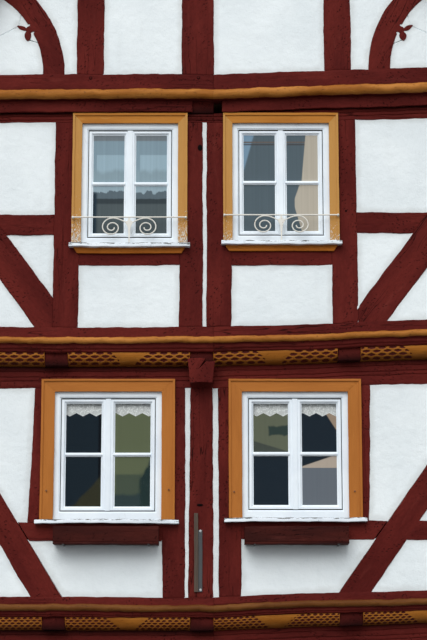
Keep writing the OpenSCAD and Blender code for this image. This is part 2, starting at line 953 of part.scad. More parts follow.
module wall_plates() {
    color(oxblood)
        for (s = [0, 1, 2]) {
            front_plate(s);
            ring_beams(front_y[s], head_z[s], plate_top[s] - head_z[s], head_slope);
        }
}

// Half-round ochre bead along a floor edge
module bead(y, z, r) {
    for (part = [[-half_w, -joint], [0, half_w]])
        translate([0, y, z])
            rising(part[0], part[1])
                intersection() {
                    circle(r);
                    translate([-2 * r, -2 * r])
                        square([2 * r - joint, 4 * r]);
                }
}

first_bead_z = first_z - first_sill_h + moulding_h + bead_r;
second_bead_z = second_z - second_sill_h + 2 * moulding_h;
gable_bead_z = gable_z - gable_sill_h + gable_bead_r + joint;

module ochre_beads() {
    color(ochre) {
        bead(front_y[1], first_bead_z, bead_r);
        bead(front_y[2], second_bead_z, bead_r);
        bead(gable_y, gable_bead_z, gable_bead_r);
    }
}

// Rounded filler block between two joists, its face curving back to the plate below
module filler(x0, x1, y, depth) {
    arc_steps = 8;
    rising(x0 + joint, x1 - joint)
        polygon(concat(
            [[y + depth + timber_t / 2, joist_h - joint]],
            [
                for (i = [0 : arc_steps])
                    let (a = 90 * i / arc_steps)
                        [
                            y + depth - (depth - moulding_d) * cos(a),
                            joist_h - joint - (joist_h - 2 * joint) * sin(a)
                        ]
            ],
            [[y + depth + timber_t / 2, joint]]
        ));
}

module floor_fillers() {
    color(ochre) {
        for (s = [0, 1])
            for (i = [0 : len(joist_x) - 2])
                translate([0, 0, plate_top[s]])
                    filler(
                        joist_x[i] + joist_w / 2, joist_x[i + 1] - joist_w / 2,
                        front_y[s + 1], front_y[s] - front_y[s + 1]
                    );
    }
    color(oxblood)
        for (s = [0, 1, 2])
            for (i = [0 : len(joist_x) - 2])
                upright(rear_y - timber_t, rear_y)
                    sagged(
                        joist_x[i] + joist_w / 2 + joint, joist_x[i + 1] - joist_w / 2 - joint,
                        plate_top[s] + joint, plate_top[s] + joist_h - joint
                    );
}

// Board that closes the floor edge under the gable, broken out over the middle joist
module gable_board() {
    y = (gable_y + front_y[2]) / 2;
    z = plate_top[2];
    color(oxblood)
        for (part = [[-half_w, board_gap_x], [board_gap_x + board_gap_w, half_w]])
            upright(y, gable_y + top_jetty / 2 + joist_recess / 2 - joint)
                sagged(part[0], part[1], z + joint, z + joist_h - joint);
}

// Carved console under the middle joist of the second storey, its upper right corner split off
module console() {
    mid_x = joist_x[2];
    wall_y = front_y[1] - joint;
    clear = 7;
    face_y = front_y[2] + clear;
    back_y = front_y[2] + joist_recess - clear;
    plate_z = plate_top[1] - joint;
    top_z = plate_z + joist_h * 0.45;
    lip = 26;
    lip_z = first_head + lip;
    hollow = 30;
    steps = 8;
    split = joist_h * 0.28;
    past = 1;
    color(oxblood)
        difference() {
            intersection() {
                along_front(mid_x - console_w / 2, mid_x + console_w / 2)
                    polygon(concat(
                        [
                            [wall_y, plate_z], [back_y, plate_z],
                            [back_y, top_z], [face_y, top_z], [face_y, lip_z]
                        ],
                        [
                            for (i = [0 : steps])
                                let (share = i / steps)
                                    [
                                        face_y + lip + (wall_y - face_y - lip) * share,
                                        lip_z - (lip_z - first_head) * share + hollow * sin(180 * share)
                                    ]
                        ]
                    ));
                upright(face_y - lip, wall_y + lip)
                    polygon([
                        [mid_x - console_foot_w / 2, first_head - lip],
                        [mid_x + console_foot_w / 2, first_head - lip],
                        [mid_x + console_w / 2, top_z + past],
                        [mid_x - console_w / 2, top_z + past]
                    ]);
            }
            upright(face_y - past, back_y + past)
                polygon([
                    [mid_x + split, top_z + 2 * past],
                    [mid_x + console_w, top_z + 2 * past],
                    [mid_x + console_w, top_z - split],
                    [mid_x + 1.3 * split, top_z - split],
                    [mid_x - split, top_z - 3.5 * split],
                    [mid_x + 0.8 * split, top_z - 0.6 * split]
                ]);
        }
}

module ground_front_frame() {
    color(oxblood)
        on_front(0)
            wall_frame(0, true);
}

module first_front_frame() {
    color(oxblood)
        on_front(1)
            wall_frame(1);
}

module second_front_frame() {
    color(oxblood)
        on_front(2)
            wall_frame(2);
}

module rear_frame() {
    color(oxblood)
        for (s = [0, 1, 2])
            on_rear()
                wall_frame(s);
}

module side_frames() {
    color(oxblood)
        for (s = [0, 1, 2])
            for (side = [-1, 1])
                cut_to_side(s, side)
                    side_wall_frame(s);
}

module storey_infill(s) {
    color(plaster) {
        on_front(s)
            wall_infill(s, s == 0);
        on_rear()
            wall_infill(s);
        for (side = [-1, 1])
            cut_to_side(s, side)
                side_wall_infill(s);
    }
}

module ground_infill() {
    storey_infill(0);
}

module first_infill() {
    storey_infill(1);
}

module second_infill() {
    storey_infill(2);
}

// Triangle under the rafters, from the gable sill up
module gable_outline(inset) {
    polygon([
        [-seat_x + inset, gable_z + joint],
        [0, gable_z + joint],
        [seat_x - inset, gable_z + joint + lift(seat_x)],
        [0, ridge_z - inset * 2]
    ]);
}

function gable_posts() = [
    [gable_left_x, gable_left_x + gable_post_w],
    [gable_middle_x, gable_middle_x + gable_middle_w],
    [gable_right_x, gable_right_x + gable_post_w]
];

module gable_posts_outline(grow = 0) {
    for (p = gable_posts())
        polygon([
            [p[0] - grow, gable_z + joint + lift(p[0]) - grow],
            [p[1] + grow, gable_z + joint + lift(p[1]) - grow],
            [p[1] + grow, gable_z + gable_collar_z - joint + grow],
            [p[0] - grow, gable_z + gable_collar_z - joint + grow]
        ]);
    king_w = gable_post_w / 2;
    intersection() {
        level(
            -king_w - grow, king_w + grow,
            gable_z + gable_collar_z + gable_collar_h + joint - grow, ridge_z
        );
        gable_outline(joint - grow);
    }
}

module gable_collar_outline(grow = 0) {
    intersection() {
        level(
            -half_w, half_w,
            gable_z + gable_collar_z - grow, gable_z + gable_collar_z + gable_collar_h + grow
        );
        gable_outline(joint - grow);
    }
}

// Curved brace with a pair of carved leaves on its hollow side
module curved_brace_outline(side, grow = 0) {
    foot = side < 0 ? curve_foot_x : curve_right_foot_x;
    x0 = foot + side * curve_r;
    z0 = gable_z + lift(foot);
    leaf_turn = side < 0 ? 30.5 : 26.5;
    hollow_r = curve_r - curve_w;
    leaf_foot = hollow_r - leaf_stem_r;
    lower_turn = -119;
    upper_turn = 126;
    notch_turn = atan((leaf_stem_r + leaf_notch_r) / hollow_r);
    intersection() {
        translate([x0, z0])
            scale_side(side)
                union() {
                    difference() {
                        circle(curve_r + grow, $fn = 128);
                        circle(hollow_r - grow, $fn = 128);
                        for (turn = [-notch_turn, notch_turn])
                            rotate(leaf_turn + turn)
                                translate([hollow_r + leaf_notch_r / 2, 0])
                                    circle(leaf_notch_r - grow);
                    }
                    rotate(leaf_turn) {
                        translate([hollow_r - leaf_stem_r / 2, 0])
                            circle(leaf_stem_r + grow);
                        translate([leaf_foot, 0])
                            rotate(lower_turn)
                                leaf(lower_leaf_l, lower_leaf_w, grow);
                        translate([leaf_foot, 0])
                            rotate(upper_turn)
                                leaf(upper_leaf_l, upper_leaf_w, grow);
                    }
                }
        intersection() {
            gable_outline(joint - grow);
            level(
                side < 0 ? -half_w : foot - grow,
                side < 0 ? foot + grow : half_w,
                gable_z, ridge_z
            );
            curve_bay(side, grow);
        }
    }
}

module scale_side(side) {
    if (side < 0)
        children();
    else
        mirror([1, 0])
            children();
}

// Part of the gable that a curved brace may reach: over its foot and outside it
module curve_bay(side, grow) {
    foot = side < 0 ? curve_foot_x : curve_right_foot_x;
    end_x = side * (seat_x - joint);
    z0 = gable_z + lift(foot) + joint - grow;
    polygon([
        [foot - side * grow, z0],
        [foot + side * curve_w + side * grow, z0 + lift(foot + side * curve_w) - lift(foot)],
        [end_x, gable_z + curve_r / 2],
        [end_x, ridge_z],
        [foot - side * grow, ridge_z]
    ]);
}

// Pointed leaf along x, made by two arcs
module leaf(length, width, grow = 0) {
    arc_r = (pow(length / 2, 2) + pow(width / 2, 2)) / width;
    translate([length / 2, 0])
        intersection() {
            translate([0, arc_r - width / 2])
                circle(arc_r + grow);
            translate([0, width / 2 - arc_r])
                circle(arc_r + grow);
        }
}

module gable_rails_outline(grow = 0) {
    intersection() {
        level(
            -half_w, half_w,
            gable_z + gable_rail_z - grow, gable_z + gable_rail_z + gable_rail_h + grow
        );
        gable_outline(joint - grow);
    }
}

// Posts, rails and collar rail of one gable
module gable_frame() {
    upright(0, timber_t)
        gable_posts_outline();
    upright(0, timber_t)
        gable_collar_outline();
    upright(0, timber_t)
        difference() {
            gable_rails_outline();
            gable_posts_outline(joint);
            for (side = [-1, 1])
                curved_brace_outline(side, joint);
        }
}

module on_gables() {
    for (face = [0, 1])
        mirror([0, face, 0])
            translate([0, gable_y, 0])
                children();
}

module gable_frames() {
    color(oxblood)
        on_gables()
            gable_frame();
}

module curved_braces() {
    color(oxblood)
        on_gables()
            upright(0, timber_t)
                for (side = [-1, 1])
                    curved_brace_outline(side);
}

// Plaster that closes the wall between the rafters, over each side wall
module eaves_infill(side) {
    x0 = side * (half_w - panel_recess - panel_t / 2);
    x1 = side * (half_w - panel_recess);
    for (i = [0 : rafter_bays - 1])
        upright(rafter_end_y(i) + joint, rafter_y(i + 1) - joint)
            polygon([
                [x0, gable_z + lift(x0) + joint],
                [x1, gable_z + lift(x1) + joint],
                [x1, roof_line(side, x1, rafter_d) - joint],
                [x0, roof_line(side, x0, rafter_d) - joint]
            ]);
}

module gable_infill() {
    color(plaster)
        for (side = [-1, 1])
            eaves_infill(side);
    color(plaster)
        on_gables()
            upright(panel_recess, panel_recess + panel_t)
                difference() {
                    gable_outline(joint);
                    gable_posts_outline(joint);
                    gable_collar_outline(joint);
                    gable_rails_outline(joint);
                    for (side = [-1, 1])
                        curved_brace_outline(side, joint);
                }
}

// Rafter with a seat cut for the wall, ending under the eaves
module rafter_outline(side) {
    end_x = half_w + eaves_out - cover_t / 2;
    difference() {
        polygon([
            [side * joint / 2, roof_line(side, 0, 0)],
            [side * end_x, roof_line(side, end_x, 0)],
            [side * end_x, roof_line(side, end_x, rafter_d)],
            [side * joint / 2, roof_line(side, 0, rafter_d)]
        ]);
        if (side < 0)
            sagged(-half_w - joint, 0, gable_z - gable_sill_h, gable_z + joint);
        else
            sagged(0, half_w + joint, gable_z - gable_sill_h, gable_z + joint);
    }
}

// Near and far face of each rafter; the two at the gables are as deep as the gable frames
function rafter_y(i) =
    i == rafter_bays ? -gable_y - timber_t : gable_y + i * (gable_len - rafter_w) / rafter_bays;
function rafter_end_y(i) =
    i == 0 ? gable_y + timber_t : (i == rafter_bays ? -gable_y : rafter_y(i) + rafter_w);

module rafters() {
    color(oxblood)
        for (i = [0 : rafter_bays])
            for (side = [-1, 1])
                upright(rafter_y(i), rafter_end_y(i))
                    rafter_outline(side);
}

// Collar beams inside the roof, let in between each pair of rafters
module collar_beams() {
    color(board_brown)
        for (i = [1 : rafter_bays - 1])
            upright(rafter_y(i), rafter_y(i) + rafter_w)
                intersection() {
                    level(
                        -half_w, half_w,
                        gable_z + gable_collar_z, gable_z + gable_collar_z + gable_collar_h
                    );
                    gable_outline(joint);
                }
}

// Boards, battens and tiles of one slope
module roof_slope_cover(side) {
    end_x = half_w + eaves_out;
    color(tile_red)
        upright(gable_y - verge_out, -gable_y + verge_out)
            polygon([
                [side * joint / 2, roof_line(side, 0, rafter_d) + joint],
                [side * end_x, roof_line(side, end_x, rafter_d) + joint],
                [side * end_x, roof_line(side, end_x, rafter_d + cover_t)],
                [side * joint / 2, roof_line(side, 0, rafter_d + cover_t)]
            ]);
}

module roof_left() {
    roof_slope_cover(-1);
}

module roof_right() {
    roof_slope_cover(1);
}

// Half-round ridge tiles, sitting astride both slopes
module ridge_cap() {
    peak = max(roof_line(-1, 0, rafter_d + cover_t), roof_line(1, 0, rafter_d + cover_t));
    sit = ridge_r / 2;
    color(tile_red)
        upright(gable_y - verge_out, -gable_y + verge_out)
            difference() {
                translate([0, peak - sit])
                    circle(ridge_r);
                for (side = [-1, 1])
                    polygon([
                        [0, peak + joint],
                        [side * 3 * ridge_r, roof_line(side, 3 * ridge_r, rafter_d + cover_t) + joint],
                        [side * 3 * ridge_r, peak - 8 * ridge_r],
                        [0, peak - 8 * ridge_r]
                    ]);
            }
}

// Boards that close the verge, hung under the roof covering
module barge_boards() {
    end_x = half_w + eaves_out;
    color(oxblood)
        for (face = [0, 1])
            mirror([0, face, 0])
                for (side = [-1, 1])
                    upright(gable_y - verge_out, gable_y - verge_out + barge_t)
                        polygon([
                            [side * joint / 2, roof_line(side, 0, rafter_d - barge_h)],
                            [side * end_x, roof_line(side, end_x, rafter_d - barge_h)],
                            [side * end_x, roof_line(side, end_x, rafter_d) - joint],
                            [side * joint / 2, roof_line(side, 0, rafter_d) - joint]
                        ]);
}

// One length of trim: a flat board with a raised outer edge, mitred at the top
module trim_piece(outline_board, outline_edge) {
    upright(-trim_t, -joint)
        polygon(outline_board);
    upright(-trim_t - trim_edge_t, -joint)
        polygon(outline_edge);
}

module window_trim() {
    s = $win[0];
    w = $win[2];
    h = $win[4] - $win[5];
    t = trim_w[s];
    head = s == 2 ? slim_head_trim : wide_head_trim;
    lap = trim_lap;
    e = trim_edge_w;
    head_e = e * head / t;
    low = board_h - board_drop + joint;
    for (side = [0, 1])
        translate([side * w, 0, 0])
            mirror([side, 0, 0])
                trim_piece(
                    [
                        [lap - t, low], [lap, low],
                        [lap, h - lap - joint], [lap - t, h - lap + head - joint]
                    ],
                    [
                        [lap - t, low], [lap - t + e, low],
                        [lap - t + e, h - lap + head - head_e - joint], [lap - t, h - lap + head - joint]
                    ]
                );
    trim_piece(
        [
            [lap, h - lap], [w - lap, h - lap],
            [w - lap + t, h - lap + head], [lap - t, h - lap + head]
        ],
        [
            [lap - t + e, h - lap + head - head_e], [w - lap + t - e, h - lap + head - head_e],
            [w - lap + t, h - lap + head], [lap - t, h - lap + head]
        ]
    );
}

module window_trims() {
    color(ochre)
        at_windows()
            window_trim();
}

// Sill board under the trim, its top sloping outwards
module window_sill() {
    t = trim_w[$win[0]];
    past = board_end($win[0]);
    fall = 6;
    x0 = trim_lap - t - past;
    x1 = $win[2] - trim_lap + t + past;
    translate([x0, 0, -board_drop])
        rotate([90, 0, 90])
            linear_extrude(x1 - x0)
                polygon([
                    [-joint, 0], [-joint, board_h], [-trim_t - trim_edge_t, board_h],
                    [-board_out, board_h - fall], [-board_out, 0]
                ]);
}

module window_sills() {
    color(frame_white)
        at_windows()
            window_sill();
}

// Ochre board under a second storey sill board, its ends cut at a slant
module window_aprons() {
    slant = 38;
    inset = 20;
    color(ochre)
        at_windows(true) {
            x0 = trim_lap - slim_trim + inset;
            x1 = $win[2] - trim_lap + slim_trim - inset;
            top = -board_drop - joint;
            upright(-apron_t, -joint)
                polygon([
                    [x0, top], [x0 + slant, top - apron_h], [x1 - slant, top - apron_h], [x1, top]
                ]);
        }
}

// Four bars round a rectangle, uprights running through
module bars(x0, x1, z0, z1, w, low_w, top_w, from_y, to_y) {
    for (x = [x0, x1 - w])
        translate([x, from_y, z0])
            cube([w, to_y - from_y, z1 - z0]);
    translate([x0 + w + joint, from_y, z0])
        cube([x1 - x0 - 2 * w - 2 * joint, to_y - from_y, low_w]);
    translate([x0 + w + joint, from_y, z1 - top_w])
        cube([x1 - x0 - 2 * w - 2 * joint, to_y - from_y, top_w]);
}

module window_frames() {
    color(frame_white)
        at_windows()
            bars(
                joint, $win[2] - joint, joint, $win[4] - 2 * joint,
                frame_w, frame_foot($win[0]), frame_w + $win[5], frame_recess, frame_recess + frame_d
            );
}

// Left and right casement of the window being drawn: x0, x1, z0, z1
function casement(win, i) =
    let (
        x0 = joint + frame_w + casement_gap,
        x1 = win[2] - joint - frame_w - casement_gap,
        mid = win[2] / 2
    )
        [
            i == 0 ? x0 : mid + casement_gap / 2,
            i == 0 ? mid - casement_gap / 2 : x1,
            joint + frame_foot(win[0]) + casement_gap,
            win[4] - 2 * joint - frame_w - win[5] - casement_gap
        ];

module casements() {
    from_y = frame_recess + 8;
    color(frame_white)
        at_windows()
            for (i = [0, 1]) {
                c = casement($win, i);
                bars(c[0], c[1], c[2], c[3], stile_w, stile_w, stile_w, from_y, from_y + stile_d);
            }
}

module window_glass() {
    mid_y = frame_recess + 8 + stile_d / 2;
    color(glass_blue)
        at_windows()
            for (i = [0, 1]) {
                c = casement($win, i);
                translate([c[0] + stile_w + joint, mid_y, c[2] + stile_w + joint])
                    cube([
                        c[1] - c[0] - 2 * stile_w - 2 * joint,
                        glass_t,
                        c[3] - c[2] - 2 * stile_w - 2 * joint
                    ]);
            }
}

// Flat iron band wound into a scroll, starting at the top and turning to the right
module scroll(r_out, turns) {
    r_in = r_out / 5;
    steps = 48;
    function radius(i) = r_out - (r_out - r_in) * i / steps;
    function angle(i) = 90 - 360 * turns * i / steps;
    polygon(concat(
        [for (i = [0 : steps]) radius(i) * [cos(angle(i)), sin(angle(i))]],
        [for (i = [steps : -1 : 0]) (radius(i) - iron_t) * [cos(angle(i)), sin(angle(i))]]
    ));
}

// Arm that leaves the stem like one side of a trumpet and runs into the top of a scroll
module scroll_arm() {
    top = scroll_r;
    reach = 2 * scroll_r;
    throat = 0.3 * scroll_r;
    polygon([
        [reach, top], [0.62 * reach, 0.99 * top], [throat, 0.9 * top], [0, 0.9 * top],
        [0, -throat], [iron_t, -throat / 2], [throat, 0.3 * top], [0.26 * reach, 0.62 * top],
        [0.42 * reach, 0.8 * top], [0.65 * reach, 0.86 * top], [reach, top - iron_t]
    ]);
}

// Window grille: a bar with knobs over two scrolls that spring from a middle stem
module grille() {
    s = $win[0];
    w = $win[2];
    t = trim_w[s];
    x0 = trim_lap - t;
    x1 = w - trim_lap + t;
    mid = w / 2;
    back = -trim_t - trim_edge_t - joint;
    face = back - 2 * iron_w;
    knob_r = iron_w;
    stem_w = iron_w * 1.4;
    low = board_h - board_drop + joint;
    scroll_z = grille_z - scroll_r - 2;
    translate([x0, face, grille_z])
        cube([x1 - x0, iron_w, iron_w]);
    for (x = [x0 + knob_r, x1 - knob_r])
        translate([x, back, grille_z + iron_w / 2])
            rotate([90, 0, 0])
                cylinder(r = knob_r, h = 3 * iron_w);
    translate([mid - stem_w / 2, face, low])
        cube([stem_w, iron_w, grille_z + iron_w / 2 - low]);
    for (side = [0, 1])
        translate([mid, 0, scroll_z])
            mirror([side, 0, 0])
                upright(face, face + iron_w) {
                    scroll_arm();
                    translate([2 * scroll_r, 0])
                        scroll(scroll_r, 1.75);
                }
}

module iron_grilles() {
    color(iron_cream)
        for (i = [0, 1])
            on_front(2)
                at_window(front_window(2, i))
                    grille();
}

// Open trough on two brackets under each first storey window
module at_boxes() {
    for (i = [0, 1])
        on_front(1)
            at_window(front_window(1, i))
                translate([0, 0, -first_rail_step * i])
                    children();
}

box_gap = 12;
box_drop = 60;

module flower_boxes() {
    color(oxblood)
        at_boxes() {
            w = $win[2] - 2 * box_inset;
            x0 = box_inset;
            y0 = -box_gap - box_d;
            z0 = -box_drop - box_h;
            translate([x0, y0, z0])
                cube([w, box_d, box_t]);
            for (y = [y0, y0 + box_d - box_t])
                translate([x0, y, z0 + box_t + joint])
                    cube([w, box_t, box_h - box_t - joint]);
            for (x = [x0, x0 + w - box_t])
                translate([x, y0 + box_t + joint, z0 + box_t + joint])
                    cube([box_t, box_d - 2 * box_t - 2 * joint, box_h - box_t - joint]);
        }
}

// Iron angles: an arm under the box and a leg behind it, screwed to the rail
module box_brackets() {
    bar = box_gap - 3;
    leg_h = box_h / 2 + box_drop / 2;
    color(iron_black)
        at_boxes()
            for (share = [0.12, 0.88]) {
                x = $win[2] * share - bar;
                z = -box_drop - box_h - joint;
                translate([x, -box_gap - box_d, z - bar])
                    cube([2 * bar, box_d + box_gap - joint, bar]);
                translate([x, -joint - bar, z - bar])
                    cube([2 * bar, bar, leg_h]);
            }
}

// Wooden lath and metal strip fixed to the middle post of the first storey
module post_fixture() {
    x = first_middle_post_x + lath_x;
    z = first_z + lath_z;
    on_front(1) {
        color(board_brown)
            translate([x, -lath_t - joint, z])
                cube([lath_w, lath_t, lath_h]);
        color(iron_black)
            translate([x + lath_w + joint, -lath_t / 2 - joint, z])
                cube([strip_w, lath_t / 2, strip_h]);
    }
}

door_low = plinth_h + floor_t + lift(first_right_x + first_right_w + first_outer_post_w / 2) + 1;

module door_frame() {
    x0 = opening_x[0][1] + joint;
    x1 = x0 + opening_w[0][1] - 2 * joint;
    top = plinth_h + door_h - joint;
    color(frame_white)
        on_front(0)
            for (part = [
                [x0, x0 + door_frame_w, door_low, top],
                [x1 - door_frame_w, x1, door_low, top],
                [x0 + door_frame_w + joint, x1 - door_frame_w - joint, top - door_frame_w, top]
            ])
                upright(frame_recess, frame_recess + timber_t / 2)
                    level(part[0], part[1], part[2], part[3]);
}

// Door leaf of one board thickness with two sunk fields
module front_door() {
    x0 = opening_x[0][1] + door_frame_w + casement_gap + joint;
    x1 = opening_x[0][1] + opening_w[0][1] - door_frame_w - casement_gap - joint;
    z0 = door_low + casement_gap;
    z1 = plinth_h + door_h - door_frame_w - casement_gap - joint;
    field = 130;
    color(door_green)
        on_front(0)
            difference() {
                upright(frame_recess + door_recess, frame_recess + door_recess + door_t)
                    level(x0, x1, z0, z1);
                for (part = [[z0 + field, (z0 + z1) / 2 - field], [(z0 + z1) / 2, z1 - field]])
                    upright(frame_recess, frame_recess + door_recess + door_t / 4)
                        level(x0 + field, x1 - field, part[0], part[1]);
            }
}

stone_plinth();
door_steps();
ground_floor();
first_floor();
second_floor();
attic_floor();
floor_joists();
ground_sill();
first_sill();
second_sill();
gable_sill();
wall_plates();
ochre_beads();
floor_fillers();
gable_board();
console();
ground_front_frame();
first_front_frame();
second_front_frame();
rear_frame();
side_frames();
ground_infill();
first_infill();
second_infill();
gable_frames();
curved_braces();
gable_infill();
rafters();
collar_beams();
roof_left();
roof_right();
ridge_cap();
barge_boards();
window_trims();
window_sills();
window_aprons();
window_frames();
casements();
window_glass();
iron_grilles();
flower_boxes();
box_brackets();
post_fixture();
front_door();
door_frame();
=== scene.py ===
"""Half timbered house with a jettied gable front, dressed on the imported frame.

Every timber, panel, board and pane of the frame gets its worn form and its finish here: hewn and
painted oak, brushed lime plaster, carved floor edges, moulded casements, lace, tiles and stones.
Lengths are in metres. The front faces -Y and Z is up.
"""

from __future__ import annotations

import logging
import math
from collections.abc import Callable, Iterator, Sequence
from dataclasses import dataclass
from enum import Enum

import bmesh
import bpy
import numpy as np
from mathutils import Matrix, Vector


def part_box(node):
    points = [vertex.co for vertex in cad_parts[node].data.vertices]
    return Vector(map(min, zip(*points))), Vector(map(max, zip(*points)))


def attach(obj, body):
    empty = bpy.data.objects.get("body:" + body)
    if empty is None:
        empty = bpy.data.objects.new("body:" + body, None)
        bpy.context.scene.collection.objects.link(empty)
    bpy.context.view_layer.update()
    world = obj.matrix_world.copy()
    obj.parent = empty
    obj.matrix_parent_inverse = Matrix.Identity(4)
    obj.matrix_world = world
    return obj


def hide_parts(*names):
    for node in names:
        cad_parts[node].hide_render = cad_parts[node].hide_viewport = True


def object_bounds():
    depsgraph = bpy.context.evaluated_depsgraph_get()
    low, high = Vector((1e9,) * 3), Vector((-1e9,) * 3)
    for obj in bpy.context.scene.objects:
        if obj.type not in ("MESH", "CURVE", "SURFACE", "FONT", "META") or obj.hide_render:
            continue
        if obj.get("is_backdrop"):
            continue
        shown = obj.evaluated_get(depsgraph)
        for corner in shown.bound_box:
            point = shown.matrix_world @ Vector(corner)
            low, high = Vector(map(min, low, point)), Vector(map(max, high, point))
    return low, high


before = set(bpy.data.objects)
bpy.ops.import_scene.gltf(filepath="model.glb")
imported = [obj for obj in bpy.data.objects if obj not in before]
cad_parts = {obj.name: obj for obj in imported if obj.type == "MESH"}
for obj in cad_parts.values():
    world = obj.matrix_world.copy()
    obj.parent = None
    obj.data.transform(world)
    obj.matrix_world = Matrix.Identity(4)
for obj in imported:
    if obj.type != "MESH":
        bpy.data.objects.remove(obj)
CAD_BOX = [list(corner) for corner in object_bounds()]

log = logging.getLogger("house")

Triple = tuple[float, float, float]
Colour = Triple
Pair = tuple[float, float]
Quad = tuple[float, float, float, float]
Spot = tuple[float, float, float, float, float]
Socket = bpy.types.NodeSocket
Material = bpy.types.Material
Mesh = bpy.types.Mesh
Piece = bpy.types.Object
MM = 0.001
WELD = 0.05 * MM
UP = Vector((0.0, 0.0, 1.0))


class Wall(Enum):
    """The four walls of the house, by the direction that each faces."""

    FRONT = (0.0, -1.0, 0.0)
    REAR = (0.0, 1.0, 0.0)
    LEFT = (-1.0, 0.0, 0.0)
    RIGHT = (1.0, 0.0, 0.0)

    @property
    def out(self) -> Vector:
        """Direction out of the wall."""
        return Vector(self.value)

    @property
    def along(self) -> Vector:
        """Direction to the right, for someone who faces the wall from outside."""
        return UP.cross(self.out)


class Storey(Enum):
    """The three storeys that have windows."""

    GROUND = 0
    FIRST = 1
    SECOND = 2


@dataclass(frozen=True)
class Wander:
    """Smooth, seeded wandering of points, as of hewn timber or trowelled plaster."""

    seed: int
    reach: float
    wavelength: float
    waves: int = 16

    def at(self, points: np.ndarray) -> np.ndarray:
        """Gives the move of each point.

        Args:
            points: one point a row, in metres.

        Returns:
            One move a row, seldom longer than the reach.
        """
        draw = np.random.default_rng(self.seed)
        heading = draw.normal(size=(self.waves, 3))
        heading /= np.linalg.norm(heading, axis=1)[:, None]
        lengths = self.wavelength * draw.uniform(0.7, 1.7, size=self.waves)
        phase = draw.uniform(0.0, 2.0 * math.pi, size=(self.waves, 3))
        turns = points @ (heading * (2.0 * math.pi / lengths)[:, None]).T
        moves = np.zeros_like(points)
        for axis in range(3):
            moves[:, axis] = np.sin(turns + phase[None, :, axis]).sum(axis=1)
        return moves * self.reach / math.sqrt(self.waves)


def place(name: str, data: bpy.types.ID) -> Piece:
    """Puts a mesh, a lamp or a camera in the scene, unturned at the origin."""
    item = bpy.data.objects.new(name, data)
    bpy.context.scene.collection.objects.link(item)
    return item


class NodeGraph:
    """A tree of nodes, built node by node."""

    prefix = ""

    def __init__(self, tree: bpy.types.NodeTree) -> None:
        """Starts with an empty tree."""
        self.tree = tree
        tree.nodes.clear()

    def feed(self, socket: Socket, value: object) -> None:
        """Links a node or an output to a socket, or sets the socket's value."""
        if isinstance(value, bpy.types.Node):
            value = value.outputs[0]
        if isinstance(value, Socket):
            self.tree.links.new(value, socket)
        else:
            socket.default_value = value

    def add(self, kind: str, inputs: dict | None = None, **settings: object) -> bpy.types.Node:
        """Adds a node.

        Args:
            kind: the node's type, without the graph's prefix.
            inputs: sockets by name or number, each with a value, another node or its output.
            settings: the node's own properties.

        Returns:
            The new node.
        """
        node = self.tree.nodes.new(self.prefix + kind)
        for key, value in settings.items():
            setattr(node, key, value)
        for key, value in (inputs or {}).items():
            self.feed(node.inputs[key], value)
        return node


